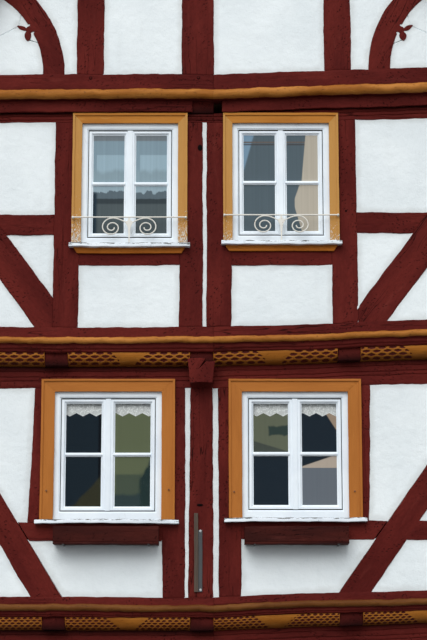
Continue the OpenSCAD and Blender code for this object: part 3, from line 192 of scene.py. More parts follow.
class ShaderGraph(NodeGraph):
    """A tree of shader nodes, with the sums and patterns that the finishes are made of."""

    prefix = "ShaderNode"

    def attribute(self, name: str, output: str = "Vector") -> Socket:
        """Reads an attribute of the mesh."""
        return self.add("Attribute", attribute_name=name).outputs[output]

    def place(self) -> Socket:
        """Gives the place on the object."""
        return self.add("TexCoord").outputs["Object"]

    def stretch(self, vector: Socket, scale: Triple, turn: Triple = (0, 0, 0)) -> Socket:
        """Scales and turns a vector before a pattern reads it."""
        return self.add("Mapping", {"Vector": vector, "Scale": scale, "Rotation": turn}).outputs["Vector"]

    def noise(self, vector: Socket, scale: float, detail: float = 4.0, rough: float = 0.55) -> Socket:
        """Gives smooth noise from 0 to 1."""
        inputs = {"Vector": vector, "Scale": scale, "Detail": detail, "Roughness": rough}
        return self.add("TexNoise", inputs).outputs["Fac"]

    def fibres(
        self, grain: Socket, along: float, across: float, detail: float, rough: float = 0.55
    ) -> Socket:
        """Gives smooth noise with its own scale along the grain and across it."""
        return self.noise(self.stretch(grain, (along, across, across)), 1.0, detail, rough)

    def cells(self, vector: Socket, scale: float) -> Socket:
        """Gives the distance to the nearest of many scattered points."""
        return self.add("TexVoronoi", {"Vector": vector, "Scale": scale}).outputs["Distance"]

    def ramp(self, factor: Socket, low: float, high: float) -> Socket:
        """Gives 0 below the low value and 1 over the high one, smooth between them."""
        ends = {"Value": factor, "From Min": low, "From Max": high}
        return self.add("MapRange", ends, interpolation_type="SMOOTHSTEP").outputs["Result"]

    def sum(self, operation: str, first: object, second: object) -> Socket:
        """Works out a sum of two numbers."""
        return self.add("Math", {0: first, 1: second}, operation=operation).outputs[0]

    def times(self, first: object, second: object) -> Socket:
        """Multiplies two numbers."""
        return self.sum("MULTIPLY", first, second)

    def plus(self, first: object, second: object) -> Socket:
        """Adds two numbers."""
        return self.sum("ADD", first, second)

    def minus(self, first: object, second: object) -> Socket:
        """Takes the second number from the first."""
        return self.sum("SUBTRACT", first, second)

    def size(self, number: object) -> Socket:
        """Gives a number without its sign."""
        return self.sum("ABSOLUTE", number, 0.0)

    def mix(self, factor: object, first: object, second: object, blend: str = "MIX") -> Socket:
        """Mixes two colours by a factor."""
        values = {0: factor}
        for number, value in ((6, first), (7, second)):
            values[number] = (*value, 1.0) if isinstance(value, tuple) and len(value) == 3 else value
        return self.add("Mix", values, data_type="RGBA", blend_type=blend).outputs[2]

    def vary(self, share: float, colour: object, pattern: Socket, low: float, high: float) -> Socket:
        """Darkens and lightens a colour with a pattern, by factors from a low to a high one."""
        factor = self.mix(pattern, (low, low, low), (high, high, high))
        return self.mix(share, colour, factor, "MULTIPLY")

    def bump(self, height: Socket, depth: float, after: object = None) -> Socket:
        """Turns a height into a surface of that depth, over an earlier one if there is one."""
        inputs = {"Height": height, "Distance": depth, "Strength": 1.0}
        if after is not None:
            inputs["Normal"] = after
        return self.add("Bump", inputs).outputs["Normal"]


class ShaderRecipe(ShaderGraph):
    """One material, built node by node."""

    def __init__(self, name: str) -> None:
        """Starts an empty material with a shader and an output."""
        self.material = bpy.data.materials.new(name)
        self.material.use_nodes = True
        super().__init__(self.material.node_tree)
        self.shader = self.add("BsdfPrincipled")
        self.output = self.add("OutputMaterial", {"Surface": self.shader})

    def finish(
        self, colour: Socket, rough: object, gloss: float, surface: Socket | None = None,
        alpha: object = 1.0,
    ) -> Material:
        """Feeds the shader and gives the finished material."""
        for name, value in (
            ("Base Color", colour), ("Roughness", rough), ("Specular IOR Level", gloss),
            ("Alpha", alpha), ("Normal", surface),
        ):
            if value is not None:
                self.feed(self.shader.inputs[name], value)
        return self.material


@dataclass(frozen=True)
class Finish:
    """A paint or a material, with its name and its slot in the record."""

    name: str
    slot: str

    def make(self) -> Material:
        """Builds the material."""
        raise NotImplementedError


@dataclass(frozen=True)
class HewnPaint(Finish):
    """Oil paint over hewn oak: grain, hewing nicks and long drying cracks, along each timber."""

    dark: Colour
    body: Colour
    worn: Colour
    gloss: float = 0.04

    def make(self) -> Material:
        """Builds the material, which reads the attribute grain and the attribute of painted shade."""
        paint = ShaderRecipe(self.name)
        grain = paint.attribute("grain")
        broad = paint.fibres(grain, 0.9, 4.0, 4.0)
        colour = paint.mix(paint.ramp(broad, 0.34, 0.68), self.dark, self.body)
        patches = paint.ramp(paint.fibres(grain, 3.0, 14.0, 5.0), 0.58, 0.76)
        colour = paint.mix(paint.times(patches, 0.4), colour, self.worn)
        # Painted shade: near-black wherever the painted-shade attribute is set, on timbers that lie in
        # shadow.
        colour = paint.mix(paint.attribute("soot", "Fac"), colour, (0.008, 0.002, 0.002))
        fibre = paint.fibres(grain, 5.0, 150.0, 3.0)
        colour = paint.vary(0.45, colour, fibre, 0.72, 1.18)
        mottle = paint.fibres(grain, 26.0, 48.0, 3.0)
        colour = paint.vary(0.6, colour, mottle, 0.55, 1.42)

        slanted = paint.stretch(grain, (1.0, 1.0, 1.0), (0.0, 0.65, 0.65))
        nick = paint.ramp(paint.cells(paint.stretch(slanted, (56.0, 25.0, 25.0)), 1.0), 0.32, 0.17)
        where = paint.ramp(paint.fibres(grain, 3.0, 6.0, 3.0), 0.46, 0.60)
        nicks = paint.times(nick, where)
        colour = paint.mix(paint.times(nicks, 0.62), colour, (0.014, 0.003, 0.003))

        wavering = paint.fibres(grain, 0.8, 17.0, 2.0, 0.4)
        line = paint.ramp(paint.size(paint.minus(wavering, 0.5)), 0.010, 0.002)
        cracked = paint.ramp(paint.fibres(grain, 0.7, 1.5, 2.0), 0.50, 0.62)
        cracks = paint.times(line, cracked)
        colour = paint.mix(paint.times(cracks, 0.75), colour, (0.006, 0.002, 0.002))

        surface = paint.bump(fibre, 0.7 * MM)
        surface = paint.bump(mottle, 2.5 * MM, surface)
        surface = paint.bump(paint.fibres(grain, 9.0, 22.0, 4.0), 5.0 * MM, surface)
        surface = paint.bump(paint.times(paint.plus(nicks, cracks), -1.0), 5.0 * MM, surface)
        rough = paint.mix(broad, (0.55, 0.55, 0.55), (0.72, 0.72, 0.72))
        return paint.finish(colour, rough, self.gloss, surface)


@dataclass(frozen=True)
class OchrePaint(Finish):
    """Ochre oil paint on planed boards, that flakes to a chalky undercoat where it is worn."""

    dark: Colour
    body: Colour
    pale: Colour
    sunned: Colour | None = None
    flecks: float = 0.0

    def make(self) -> Material:
        """Builds the material, which reads the attributes grain, wear and hollow, and the attribute of
        painted shade.
        """
        paint = ShaderRecipe(self.name)
        grain = paint.attribute("grain")
        wear = paint.attribute("wear", "Fac")
        broad = paint.fibres(grain, 1.4, 9.0, 5.0)
        colour = paint.mix(paint.ramp(broad, 0.30, 0.66), self.dark, self.body)
        if self.sunned is not None:
            colour = paint.mix(paint.times(paint.ramp(wear, 0.05, 0.3), 0.85), colour, self.sunned)
        fibre = paint.fibres(grain, 6.0, 120.0, 4.0)
        streaks = paint.mix(fibre, (0.78, 0.76, 0.72), (1.14, 1.14, 1.14))
        colour = paint.mix(0.6, colour, streaks, "MULTIPLY")
        pale = paint.ramp(paint.fibres(grain, 6.0, 40.0, 6.0, 0.65), 0.58, 0.72)
        colour = paint.mix(paint.times(pale, 0.5), colour, self.pale)

        chips = paint.fibres(grain, 42.0, 115.0, 6.0, 0.7)
        level = paint.minus(0.86, paint.times(wear, 0.36))
        flaked = paint.ramp(paint.minus(chips, level), 0.0, 0.03)
        colour = paint.mix(flaked, colour, (0.80, 0.78, 0.72))
        bare = paint.ramp(paint.minus(chips, paint.plus(level, 0.09)), 0.0, 0.03)
        colour = paint.mix(bare, colour, (0.16, 0.10, 0.06))

        hollow = paint.attribute("hollow", "Fac")
        colour = paint.mix(paint.ramp(hollow, 0.15, 0.4), colour, (0.075, 0.009, 0.006))
        # Painted shade: near-black where the painted-shade attribute is set, on the shaded foot of the
        # carved fillers.
        soot = paint.attribute("soot", "Fac")
        colour = paint.mix(soot, colour, (0.02, 0.005, 0.002))
        lumps = paint.fibres(grain, 10.0, 26.0, 4.0)
        fleck = paint.ramp(paint.fibres(grain, 30.0, 70.0, 5.0, 0.65), 0.57, 0.66)
        colour = paint.mix(paint.times(fleck, self.flecks), colour, (0.05, 0.014, 0.005))
        surface = paint.bump(fibre, 0.6 * MM)
        surface = paint.bump(lumps, (1.0 + 5.0 * self.flecks) * MM, surface)
        surface = paint.bump(paint.times(flaked, -1.0), 1.0 * MM, surface)
        return paint.finish(colour, 0.55, 0.1, surface)


@dataclass(frozen=True)
class LimePlaster(Finish):
    """Limewashed plaster with brush marks, soft undulation and a little painted shade near its edges."""

    name: str = "lime_plaster"
    slot: str = "plaster"
    shade: Colour = (0.775, 0.837, 0.857)
    wash: Colour = (0.850, 0.908, 0.922)

    def make(self) -> Material:
        """Builds the material, which reads the attribute rim."""
        coat = ShaderRecipe(self.name)
        place = coat.place()
        broad = coat.noise(place, 1.3, 5.0)
        colour = coat.mix(coat.ramp(broad, 0.32, 0.68), self.shade, self.wash)
        rim = coat.attribute("rim", "Fac")
        uneven = coat.noise(place, 9.0, 5.0)
        # Painted shade: a grey band along the visible edges of each panel, where it meets the timbers.
        painted_edge_shade = coat.ramp(coat.minus(rim, coat.times(uneven, 0.07)), 0.035, -0.03)
        colour = coat.mix(coat.times(painted_edge_shade, 0.35), colour, (0.50, 0.51, 0.49))
        streaks = coat.noise(coat.stretch(place, (9.0, 9.0, 1.2)), 1.0, 5.0)
        colour = coat.mix(coat.times(coat.ramp(streaks, 0.55, 0.8), 0.16), colour, (0.60, 0.63, 0.63))

        strokes = coat.noise(coat.stretch(place, (34.0, 34.0, 130.0), (0.35, 0.0, 0.2)), 1.0, 4.0)
        crossing = coat.noise(coat.stretch(place, (120.0, 34.0, 30.0), (0.0, 0.6, 0.0)), 1.0, 4.0)
        surface = coat.bump(coat.plus(strokes, crossing), 1.6 * MM)
        surface = coat.bump(coat.noise(place, 11.0, 3.0), 7.0 * MM, surface)
        return coat.finish(colour, 0.9, 0.2, surface)


@dataclass(frozen=True)
class WhitePaint(Finish):
    """White paint on planed wood, which cracks and greys where it is worn."""

    name: str = "white_joinery_paint"
    slot: str = "white_paint"
    body: Colour = (0.88, 0.95, 1.0)
    shade: Colour = (0.80, 0.875, 0.94)

    def make(self) -> Material:
        """Builds the material, which reads the attributes grain and wear, and the attribute of painted
        shade.
        """
        paint = ShaderRecipe(self.name)
        grain = paint.attribute("grain")
        wear = paint.attribute("wear", "Fac")
        place = paint.place()
        broad = paint.noise(place, 3.0, 5.0)
        colour = paint.mix(paint.ramp(broad, 0.32, 0.66), self.shade, self.body)
        chips = paint.fibres(grain, 11.0, 85.0, 6.0, 0.68)
        level = paint.minus(0.84, paint.times(wear, 0.34))
        flaked = paint.ramp(paint.minus(chips, level), 0.0, 0.03)
        colour = paint.mix(flaked, colour, (0.070, 0.070, 0.066))
        dirt = paint.ramp(paint.fibres(grain, 5.0, 30.0, 5.0), 0.60, 0.80)
        colour = paint.mix(paint.times(dirt, 0.3), colour, (0.45, 0.45, 0.43))
        # Painted shade: dark grey where the painted-shade attribute is set, on the faces inside the joints.
        colour = paint.mix(paint.attribute("soot", "Fac"), colour, (0.085, 0.090, 0.095))
        surface = paint.bump(paint.fibres(grain, 5.0, 90.0, 3.0), 0.4 * MM)
        surface = paint.bump(paint.times(flaked, -1.0), 1.0 * MM, surface)
        return paint.finish(colour, 0.45, 0.15, surface)


@dataclass(frozen=True)
class PaintedReflection:
    """A patch of painted reflection, of one tone, in a pane: each side keeps what lies past a line, a *
    across + b * up > c.
    """

    tone: Colour
    sides: tuple[Triple, ...]
    soft: float = 0.006
    waver: float = 0.0


@dataclass(frozen=True)
class LaceHem:
    """The toothed lower edge of the lace, from its left end and its rod."""

    drop: float = 0.147
    tooth: float = 0.131
    bite: float = 0.034

    def depth(self, across: float) -> float:
        """Gives how far below the rod the lace ends."""
        return self.drop - self.bite * (1.0 - abs((across / self.tooth + 0.5) % 1.0 - 0.5) * 2.0)


HEM = LaceHem()


@dataclass(frozen=True)
class PaneGlass(Finish):
    """Old window glass: a diffuse film painted with reflections of what stands opposite, under a glossy
    coat, that lets a little of the room through.
    """

    ground: Colour
    patches: tuple[PaintedReflection, ...]
    painted_reflection: float
    folds: float

    def make(self) -> Material:
        """Builds the material.

        It reads the attribute pane, with the place across and up and a number of the pane's own, and
        the attribute cloth, with the place on the lace behind the pane and 1 where there is lace.
        """
        glass = ShaderRecipe(self.name)
        across, up, own = self.split(glass, glass.attribute("pane"))
        over, below, laced = self.split(glass, glass.attribute("cloth"))
        bend = glass.noise(self.join(glass, glass.times(across, 2.4), up, own), 4.5, 3.0, 0.55)
        bend = glass.minus(bend, 0.5)
        # Painted reflection: the ground tone and each patch paint what the glass mirrors.
        colour = self.ground
        for patch in self.patches:
            mask = 1.0
            for a, b, c in patch.sides:
                level = glass.plus(glass.times(across, a), glass.times(up, b))
                level = glass.minus(level, c)
                if patch.waver:
                    level = glass.plus(level, glass.times(bend, patch.waver))
                mask = glass.times(glass.ramp(level, -patch.soft, patch.soft), mask)
            colour = glass.mix(mask, colour, patch.tone)
        # Painted shade and light of folds, over the painted reflection.
        folded = self.join(glass, glass.times(across, 55.0), glass.times(up, 0.6), own)
        fold = glass.noise(folded, 1.0, 3.0)
        colour = glass.vary(self.folds, colour, fold, 0.5, 1.5)

        wave = glass.bump(glass.noise(glass.place(), 5.0, 1.0), 2.5 * MM)
        coat = glass.add("BsdfGlossy", {"Roughness": 0.03, "Normal": wave})
        clear = glass.add("BsdfTransparent", {"Color": (0.98, 0.99, 0.99, 1.0)})
        painted_reflection = glass.add("BsdfDiffuse", {"Color": colour})
        turn = glass.sum("FRACT", glass.plus(glass.sum("DIVIDE", over, HEM.tooth), 0.5), 0.0)
        bite = glass.times(glass.size(glass.minus(turn, 0.5)), 2.0)
        hem = glass.plus(glass.times(bite, HEM.bite), HEM.drop - HEM.bite)
        past = glass.ramp(glass.minus(below, hem), -1.0 * MM, 1.0 * MM)
        lace = glass.times(glass.minus(1.0, past), laced)
        share = glass.times(glass.minus(1.0, lace), self.painted_reflection)
        room = glass.add("MixShader", {0: share, 1: clear, 2: painted_reflection})
        fresnel = glass.add("Fresnel", {"IOR": 1.18, "Normal": wave})
        final = glass.add("MixShader", {0: fresnel, 1: room, 2: coat})
        glass.tree.nodes.remove(glass.shader)
        glass.feed(glass.output.inputs["Surface"], final)
        return glass.material

    @staticmethod
    def split(glass: ShaderRecipe, vector: Socket) -> list[Socket]:
        """Takes a vector apart into its three numbers."""
        return list(glass.add("SeparateXYZ", {"Vector": vector}).outputs)

    @staticmethod
    def join(glass: ShaderRecipe, x: object, y: object, z: object) -> Socket:
        """Makes a vector of three numbers."""
        return glass.add("CombineXYZ", {"X": x, "Y": y, "Z": z}).outputs[0]


@dataclass(frozen=True)
class Cloth(Finish):
    """Thin white cloth, solid or worked as lace with holes between its threads."""

    thread: Colour
    openness: float
    weave: float

    def make(self) -> Material:
        """Builds the material, which reads the attribute cut: the place on the cloth and over its hem."""
        cloth = ShaderRecipe(self.name)
        cut = cloth.attribute("cut")
        over_hem = cloth.add("SeparateXYZ", {"Vector": cut}).outputs["Z"]
        flat = cloth.stretch(cut, (1.0, 1.0, 0.0))
        net = cloth.ramp(over_hem, 0.055, 0.095)
        dull = tuple(0.85 * part for part in self.thread)
        colour = cloth.mix(cloth.noise(flat, 12.0, 4.0), dull, self.thread)
        petals = cloth.ramp(cloth.cells(flat, self.weave), 0.30, 0.52)
        open_share = cloth.times(self.openness, cloth.plus(0.8, cloth.times(net, 0.3)))
        holes = cloth.times(petals, open_share)
        holes = cloth.times(holes, cloth.ramp(over_hem, 0.009, 0.012))
        threads = cloth.noise(cloth.stretch(cut, (700.0, 700.0, 700.0)), 1.0, 1.0)
        surface = cloth.bump(threads, 0.3 * MM)
        return cloth.finish(colour, 0.85, 0.1, surface, alpha=cloth.minus(1.0, holes))


@dataclass(frozen=True)
class Stone(Finish):
    """Dressed sandstone, each stone with a tone of its own and dark specks."""

    name: str = "dressed_sandstone"
    slot: str = "plinth_stone"
    dark: Colour = (0.17, 0.135, 0.10)
    body: Colour = (0.36, 0.30, 0.235)

    def make(self) -> Material:
        """Builds the material, which reads the attribute shade."""
        stone = ShaderRecipe(self.name)
        place = stone.place()
        broad = stone.noise(place, 2.5, 6.0)
        own = stone.attribute("shade", "Fac")
        tone = stone.plus(stone.times(own, 0.45), stone.times(broad, 0.6))
        colour = stone.mix(stone.ramp(tone, 0.2, 0.8), self.dark, self.body)
        specks = stone.ramp(stone.noise(place, 90.0, 3.0), 0.58, 0.68)
        colour = stone.mix(stone.times(specks, 0.35), colour, (0.10, 0.085, 0.07))
        surface = stone.bump(stone.noise(place, 60.0, 6.0, 0.65), 4.0 * MM)
        surface = stone.bump(stone.noise(place, 9.0, 4.0), 9.0 * MM, surface)
        return stone.finish(colour, 0.88, 0.25, surface)


@dataclass(frozen=True)
class FiredClay(Finish):
    """Fired clay tiles, each with a tone of its own, with some lichen and soot."""

    name: str = "fired_clay_tiles"
    slot: str = "roof_tile"
    dark: Colour = (0.115, 0.040, 0.024)
    body: Colour = (0.31, 0.115, 0.062)

    def make(self) -> Material:
        """Builds the material, which reads the attribute shade."""
        clay = ShaderRecipe(self.name)
        place = clay.place()
        own = clay.attribute("shade", "Fac")
        colour = clay.mix(own, self.dark, self.body)
        soot = clay.ramp(clay.noise(place, 1.1, 6.0), 0.45, 0.75)
        colour = clay.mix(clay.times(soot, 0.55), colour, (0.075, 0.048, 0.036))
        lichen = clay.ramp(clay.noise(place, 24.0, 6.0, 0.7), 0.63, 0.70)
        colour = clay.mix(clay.times(lichen, 0.5), colour, (0.26, 0.26, 0.19))
        surface = clay.bump(clay.noise(place, 130.0, 4.0), 1.2 * MM)
        return clay.finish(colour, 0.82, 0.3, surface)


@dataclass(frozen=True)
class BareWood(Finish):
    """Wood without paint: grain lines along each board."""

    dark: Colour
    body: Colour

    def make(self) -> Material:
        """Builds the material, which reads the attribute grain."""
        wood = ShaderRecipe(self.name)
        grain = wood.attribute("grain")
        rings = wood.fibres(grain, 0.8, 26.0, 5.0, 0.6)
        fibre = wood.fibres(grain, 8.0, 260.0, 2.0)
        colour = wood.mix(wood.ramp(rings, 0.33, 0.67), self.dark, self.body)
        colour = wood.vary(0.6, colour, fibre, 0.68, 1.2)
        surface = wood.bump(wood.plus(rings, fibre), 1.2 * MM)
        return wood.finish(colour, 0.7, 0.3, surface)


@dataclass(frozen=True)
class PaintedIron(Finish):
    """Paint over wrought iron, with rust that comes through in spots."""

    body: Colour
    rust: Colour
    rust_share: float
    gloss: float = 0.4

    def make(self) -> Material:
        """Builds the material."""
        iron = ShaderRecipe(self.name)
        place = iron.place()
        spots = iron.ramp(iron.noise(place, 38.0, 6.0, 0.68), self.rust_share, self.rust_share + 0.07)
        tone = iron.noise(place, 14.0, 4.0)
        colour = iron.mix(tone, tuple(0.82 * part for part in self.body), self.body)
        colour = iron.mix(spots, colour, self.rust)
        surface = iron.bump(iron.noise(place, 160.0, 4.0), 0.8 * MM)
        rough = iron.mix(spots, (0.45, 0.45, 0.45), (0.85, 0.85, 0.85))
        return iron.finish(colour, rough, self.gloss, surface)


OXBLOOD = HewnPaint(
    "oxblood_timber_paint", "oxblood_timber",
    dark=(0.080, 0.0096, 0.0080), body=(0.124, 0.0165, 0.0128), worn=(0.150, 0.028, 0.021),
)
BOX_BROWN = HewnPaint(
    "flower_box_paint", "oxblood_timber",
    dark=(0.030, 0.007, 0.006), body=(0.062, 0.012, 0.009), worn=(0.12, 0.030, 0.024),
)
PEELED_OCHRE = OchrePaint(
    "weathered_ochre_paint", "ochre_paint",
    dark=(0.41, 0.150, 0.021), body=(0.50, 0.200, 0.032), pale=(0.58, 0.30, 0.09),
    sunned=(0.53, 0.280, 0.080),
)
# Painted shade: a darker copy of the bead ochre for the lowest bead, which lies in shadow.
SHADED_BEAD_OCHRE = OchrePaint(
    "lowest_bead_ochre", "ochre_paint",
    dark=(0.110, 0.036, 0.007), body=(0.165, 0.062, 0.014), pale=(0.21, 0.09, 0.024), flecks=0.6,
)
NEW_OCHRE = OchrePaint(
    "smooth_ochre_paint", "ochre_paint",
    dark=(0.40, 0.138, 0.026), body=(0.45, 0.160, 0.031), pale=(0.47, 0.18, 0.038),
)
BEAD_OCHRE = OchrePaint(
    "lumpy_bead_ochre", "ochre_paint",
    dark=(0.31, 0.108, 0.016), body=(0.47, 0.19, 0.040), pale=(0.56, 0.26, 0.06), flecks=0.5,
)
APRON_OCHRE = OchrePaint(
    "apron_ochre", "ochre_paint",
    dark=(0.36, 0.105, 0.010), body=(0.46, 0.145, 0.014), pale=(0.50, 0.20, 0.030), flecks=0.4,
)
CARVED_OCHRE = OchrePaint(
    "carved_filler_ochre", "ochre_paint",
    dark=(0.30, 0.100, 0.012), body=(0.42, 0.155, 0.022), pale=(0.58, 0.27, 0.06), flecks=0.35,
)
PLASTER = LimePlaster()
JOINERY_WHITE = WhitePaint()

def right_of(across: float) -> Triple:
    """The side of an upright line that is farther right."""
    return (1.0, 0.0, across)


def left_of(across: float) -> Triple:
    """The side of an upright line that is farther left."""
    return (-1.0, 0.0, -across)


def above(up: float) -> Triple:
    """The upper side of a level line."""
    return (0.0, 1.0, up)


def below(up: float) -> Triple:
    """The lower side of a level line."""
    return (0.0, -1.0, -up)


# Painted reflections in the glass of the upper windows.
UPPER_GLASS = (
    PaneGlass(
        "window_glass_of_hills", "window_glass", ground=(0.245, 0.345, 0.405), painted_reflection=0.9, folds=0.30,
        patches=(
            PaintedReflection((0.185, 0.215, 0.235), (above(0.945),), soft=0.008),
            PaintedReflection((0.338, 0.471, 0.546), (right_of(0.16), left_of(0.5), below(0.80))),
            PaintedReflection((0.345, 0.480, 0.556), (right_of(0.60), below(0.80))),
            PaintedReflection((0.270, 0.370, 0.420), (below(0.64),), soft=0.03, waver=0.12),
            PaintedReflection((0.330, 0.440, 0.500), (below(0.50), above(0.40)), soft=0.02),
            PaintedReflection((0.115, 0.155, 0.180), (below(0.415),), soft=0.008, waver=0.16),
            PaintedReflection((0.045, 0.060, 0.068), (below(0.352),), soft=0.006, waver=0.02),
            PaintedReflection((0.088, 0.112, 0.120), (below(0.30),), soft=0.010),
            PaintedReflection((0.020, 0.038, 0.055), (left_of(0.165), below(0.415)), soft=0.02),
        ),
    ),
    PaneGlass(
        "window_glass_of_house", "window_glass", ground=(0.098, 0.134, 0.156), painted_reflection=0.9, folds=0.30,
        patches=(
            PaintedReflection((0.20, 0.32, 0.43), ((-1.0, 0.276, 0.047), above(0.5)), soft=0.012),
            PaintedReflection((0.145, 0.125, 0.115), (above(0.918), below(0.934)), soft=0.006),
            PaintedReflection((0.070, 0.066, 0.068), (above(0.896), below(0.908)), soft=0.006),
            PaintedReflection((0.500, 0.455, 0.375), ((1.0, -0.088, 0.665), above(0.5))),
            PaintedReflection(
                (0.500, 0.455, 0.375),
                (right_of(0.64), (1.0, -0.35, 0.521), (1.0, 0.28, 0.709), below(0.5)),
            ),
        ),
    ),
)
# Painted reflections in the glass of the lower windows.
LOWER_GLASS = (
    PaneGlass(
        "window_glass_of_garden", "window_glass", ground=(0.0095, 0.018, 0.026), painted_reflection=0.9, folds=0.10,
        patches=(
            PaintedReflection((0.116, 0.138, 0.077), (right_of(0.5),)),
            PaintedReflection((0.003, 0.005, 0.008), (right_of(0.411), left_of(0.5)), soft=0.003),
            PaintedReflection((0.034, 0.044, 0.016), (right_of(0.884),), soft=0.003),
            PaintedReflection((0.064, 0.086, 0.060), (right_of(0.57), left_of(0.80), below(0.31)), soft=0.014),
            PaintedReflection((0.030, 0.050, 0.052), (right_of(0.5), below(0.12)), soft=0.02, waver=0.05),
            PaintedReflection((0.016, 0.034, 0.033), (right_of(0.80), (1.0, -0.5, 0.66)), soft=0.02, waver=0.07),
            PaintedReflection((0.032, 0.032, 0.018), ((1.0, -0.9, 0.18), left_of(0.5)), soft=0.02, waver=0.05),
        ),
    ),
    PaneGlass(
        "window_glass_of_gable", "window_glass", ground=(0.012, 0.021, 0.031), painted_reflection=0.9, folds=0.12,
        patches=(
            PaintedReflection((0.125, 0.140, 0.095), (left_of(0.5), above(0.5))),
            PaintedReflection((0.062, 0.074, 0.062), (left_of(0.5), above(0.5), (-0.323, -1.0, -0.668)), soft=0.01),
            PaintedReflection(
                (0.032, 0.052, 0.046),
                (left_of(0.5), right_of(0.265), above(0.685), (0.1, -1.0, -0.740)),
                soft=0.012, waver=0.07,
            ),
            PaintedReflection((0.33, 0.25, 0.18), (right_of(0.5), above(0.5), (1.68, 1.0, 2.22)), soft=0.012),
            PaintedReflection((0.46, 0.39, 0.32), (right_of(0.5), below(0.5), (0.365, -1.0, -0.173))),
            PaintedReflection((0.140, 0.162, 0.188), (right_of(0.5), below(0.365)), soft=0.004),
        ),
    ),
)
LACE = Cloth("white_lace", "white_paint", thread=(1.0, 1.0, 0.98), openness=0.30, weave=58.0)
SHEER = Cloth("sheer_curtain_cloth", "white_paint", thread=(0.55, 0.58, 0.58), openness=0.25, weave=400.0)
STONE = Stone()
CLAY = FiredClay()
BOARDS = BareWood("floor_board_wood", "bare_wood", dark=(0.13, 0.075, 0.038), body=(0.28, 0.18, 0.10))
BANDING = PaintedIron("dull_steel_strip", "black_iron", (0.046, 0.050, 0.054), (0.10, 0.055, 0.035), 0.62)
LATH = BareWood("weathered_lath_wood", "bare_wood", dark=(0.045, 0.032, 0.024), body=(0.13, 0.088, 0.062))
DOOR_OAK = BareWood("stained_door_oak", "door_wood", dark=(0.045, 0.022, 0.011), body=(0.13, 0.068, 0.034))
PALE_STEEL = PaintedIron("pale_zinc_bolts", "black_iron", (0.46, 0.48, 0.49), (0.21, 0.085, 0.035), 0.72)
# Painted shade: near-black finish for discs that stand for the shadow inside holes and joints.
PAINTED_HOLE_SHADE = PaintedIron(
    "shaded_hollows", "black_iron", (0.004, 0.002, 0.002), (0.01, 0.004, 0.003), 0.66, gloss=0.02
)
CREAM_IRON = PaintedIron("cream_painted_iron", "cream_iron", (0.83, 0.81, 0.74), (0.30, 0.15, 0.07), 0.60)
RUSTY_IRON = PaintedIron("rusty_screw_heads", "black_iron", (0.13, 0.045, 0.018), (0.06, 0.02, 0.01), 0.55)
BLACK_IRON = PaintedIron(
    "black_painted_iron", "black_iron", (0.020, 0.020, 0.022), (0.09, 0.045, 0.026), 0.66
)


class Workshop:
    """Keeps the finished materials and turns meshes into pieces of the house."""

    def __init__(self) -> None:
        """Starts with no material made."""
        self.made: dict[str, Material] = {}

    def material(self, finish: Finish) -> Material:
        """Gives a finish's material, made once."""
        if finish.name not in self.made:
            self.made[finish.name] = finish.make()
        return self.made[finish.name]

    def enter(self, name: str, mesh: Mesh, finish: Finish, replaced: tuple[str, ...] = ()) -> Piece:
        """Makes a piece of the house.

        Args:
            name: the piece's name.
            mesh: its form, in its place on the house.
            finish: what it is coated with or made of.
            replaced: the frame's nodes that it stands for.

        Returns:
            The piece.
        """
        piece = place(name, mesh)
        mesh.materials.clear()
        mesh.materials.append(self.material(finish))
        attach(piece, "root")
        if replaced:
            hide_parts(*replaced)
        log.info("%s: %d faces", name, len(mesh.polygons))
        return piece


class Pile:
    """Gathers the points, faces and attributes of many solids into one mesh."""

    def __init__(self) -> None:
        """Starts empty."""
        self.points: list[np.ndarray] = []
        self.faces: list[list[int]] = []
        self.values: dict[str, list[np.ndarray]] = {}
        self.count = 0

    def put(self, points: np.ndarray, faces: list[list[int]], **values: np.ndarray) -> None:
        """Adds one solid.

        Args:
            points: one point a row.
            faces: the numbers of each face's points.
            values: attributes by name, a number or a vector for each point.
        """
        for name in set(self.values) | set(values):
            known = self.values.setdefault(name, [])
            given = values.get(name)
            if given is None:
                given = np.zeros((len(points), *known[0].shape[1:]))
            if not known and self.count:
                known.append(np.zeros((self.count, *given.shape[1:])))
            known.append(given)
        self.faces.extend([[corner + self.count for corner in face] for face in faces])
        self.points.append(points)
        self.count += len(points)

    def mesh(self, name: str, smooth_angle: float = 32.0) -> Mesh:
        """Makes the mesh.

        Args:
            name: the mesh's name.
            smooth_angle: edges that bend by less than this many degrees are shaded smooth.

        Returns:
            The mesh, with its attributes.
        """
        mesh = bpy.data.meshes.new(name)
        mesh.from_pydata(np.concatenate(self.points).tolist(), [], self.faces)
        for key, parts in self.values.items():
            whole = np.concatenate(parts).astype(np.float32)
            kind = "FLOAT_VECTOR" if whole.ndim == 2 else "FLOAT"
            attribute = mesh.attributes.new(key, kind, "POINT")
            attribute.data.foreach_set("vector" if whole.ndim == 2 else "value", whole.ravel())
        mesh.shade_smooth()
        mesh.set_sharp_from_angle(angle=math.radians(smooth_angle))
        mesh.update()
        return mesh


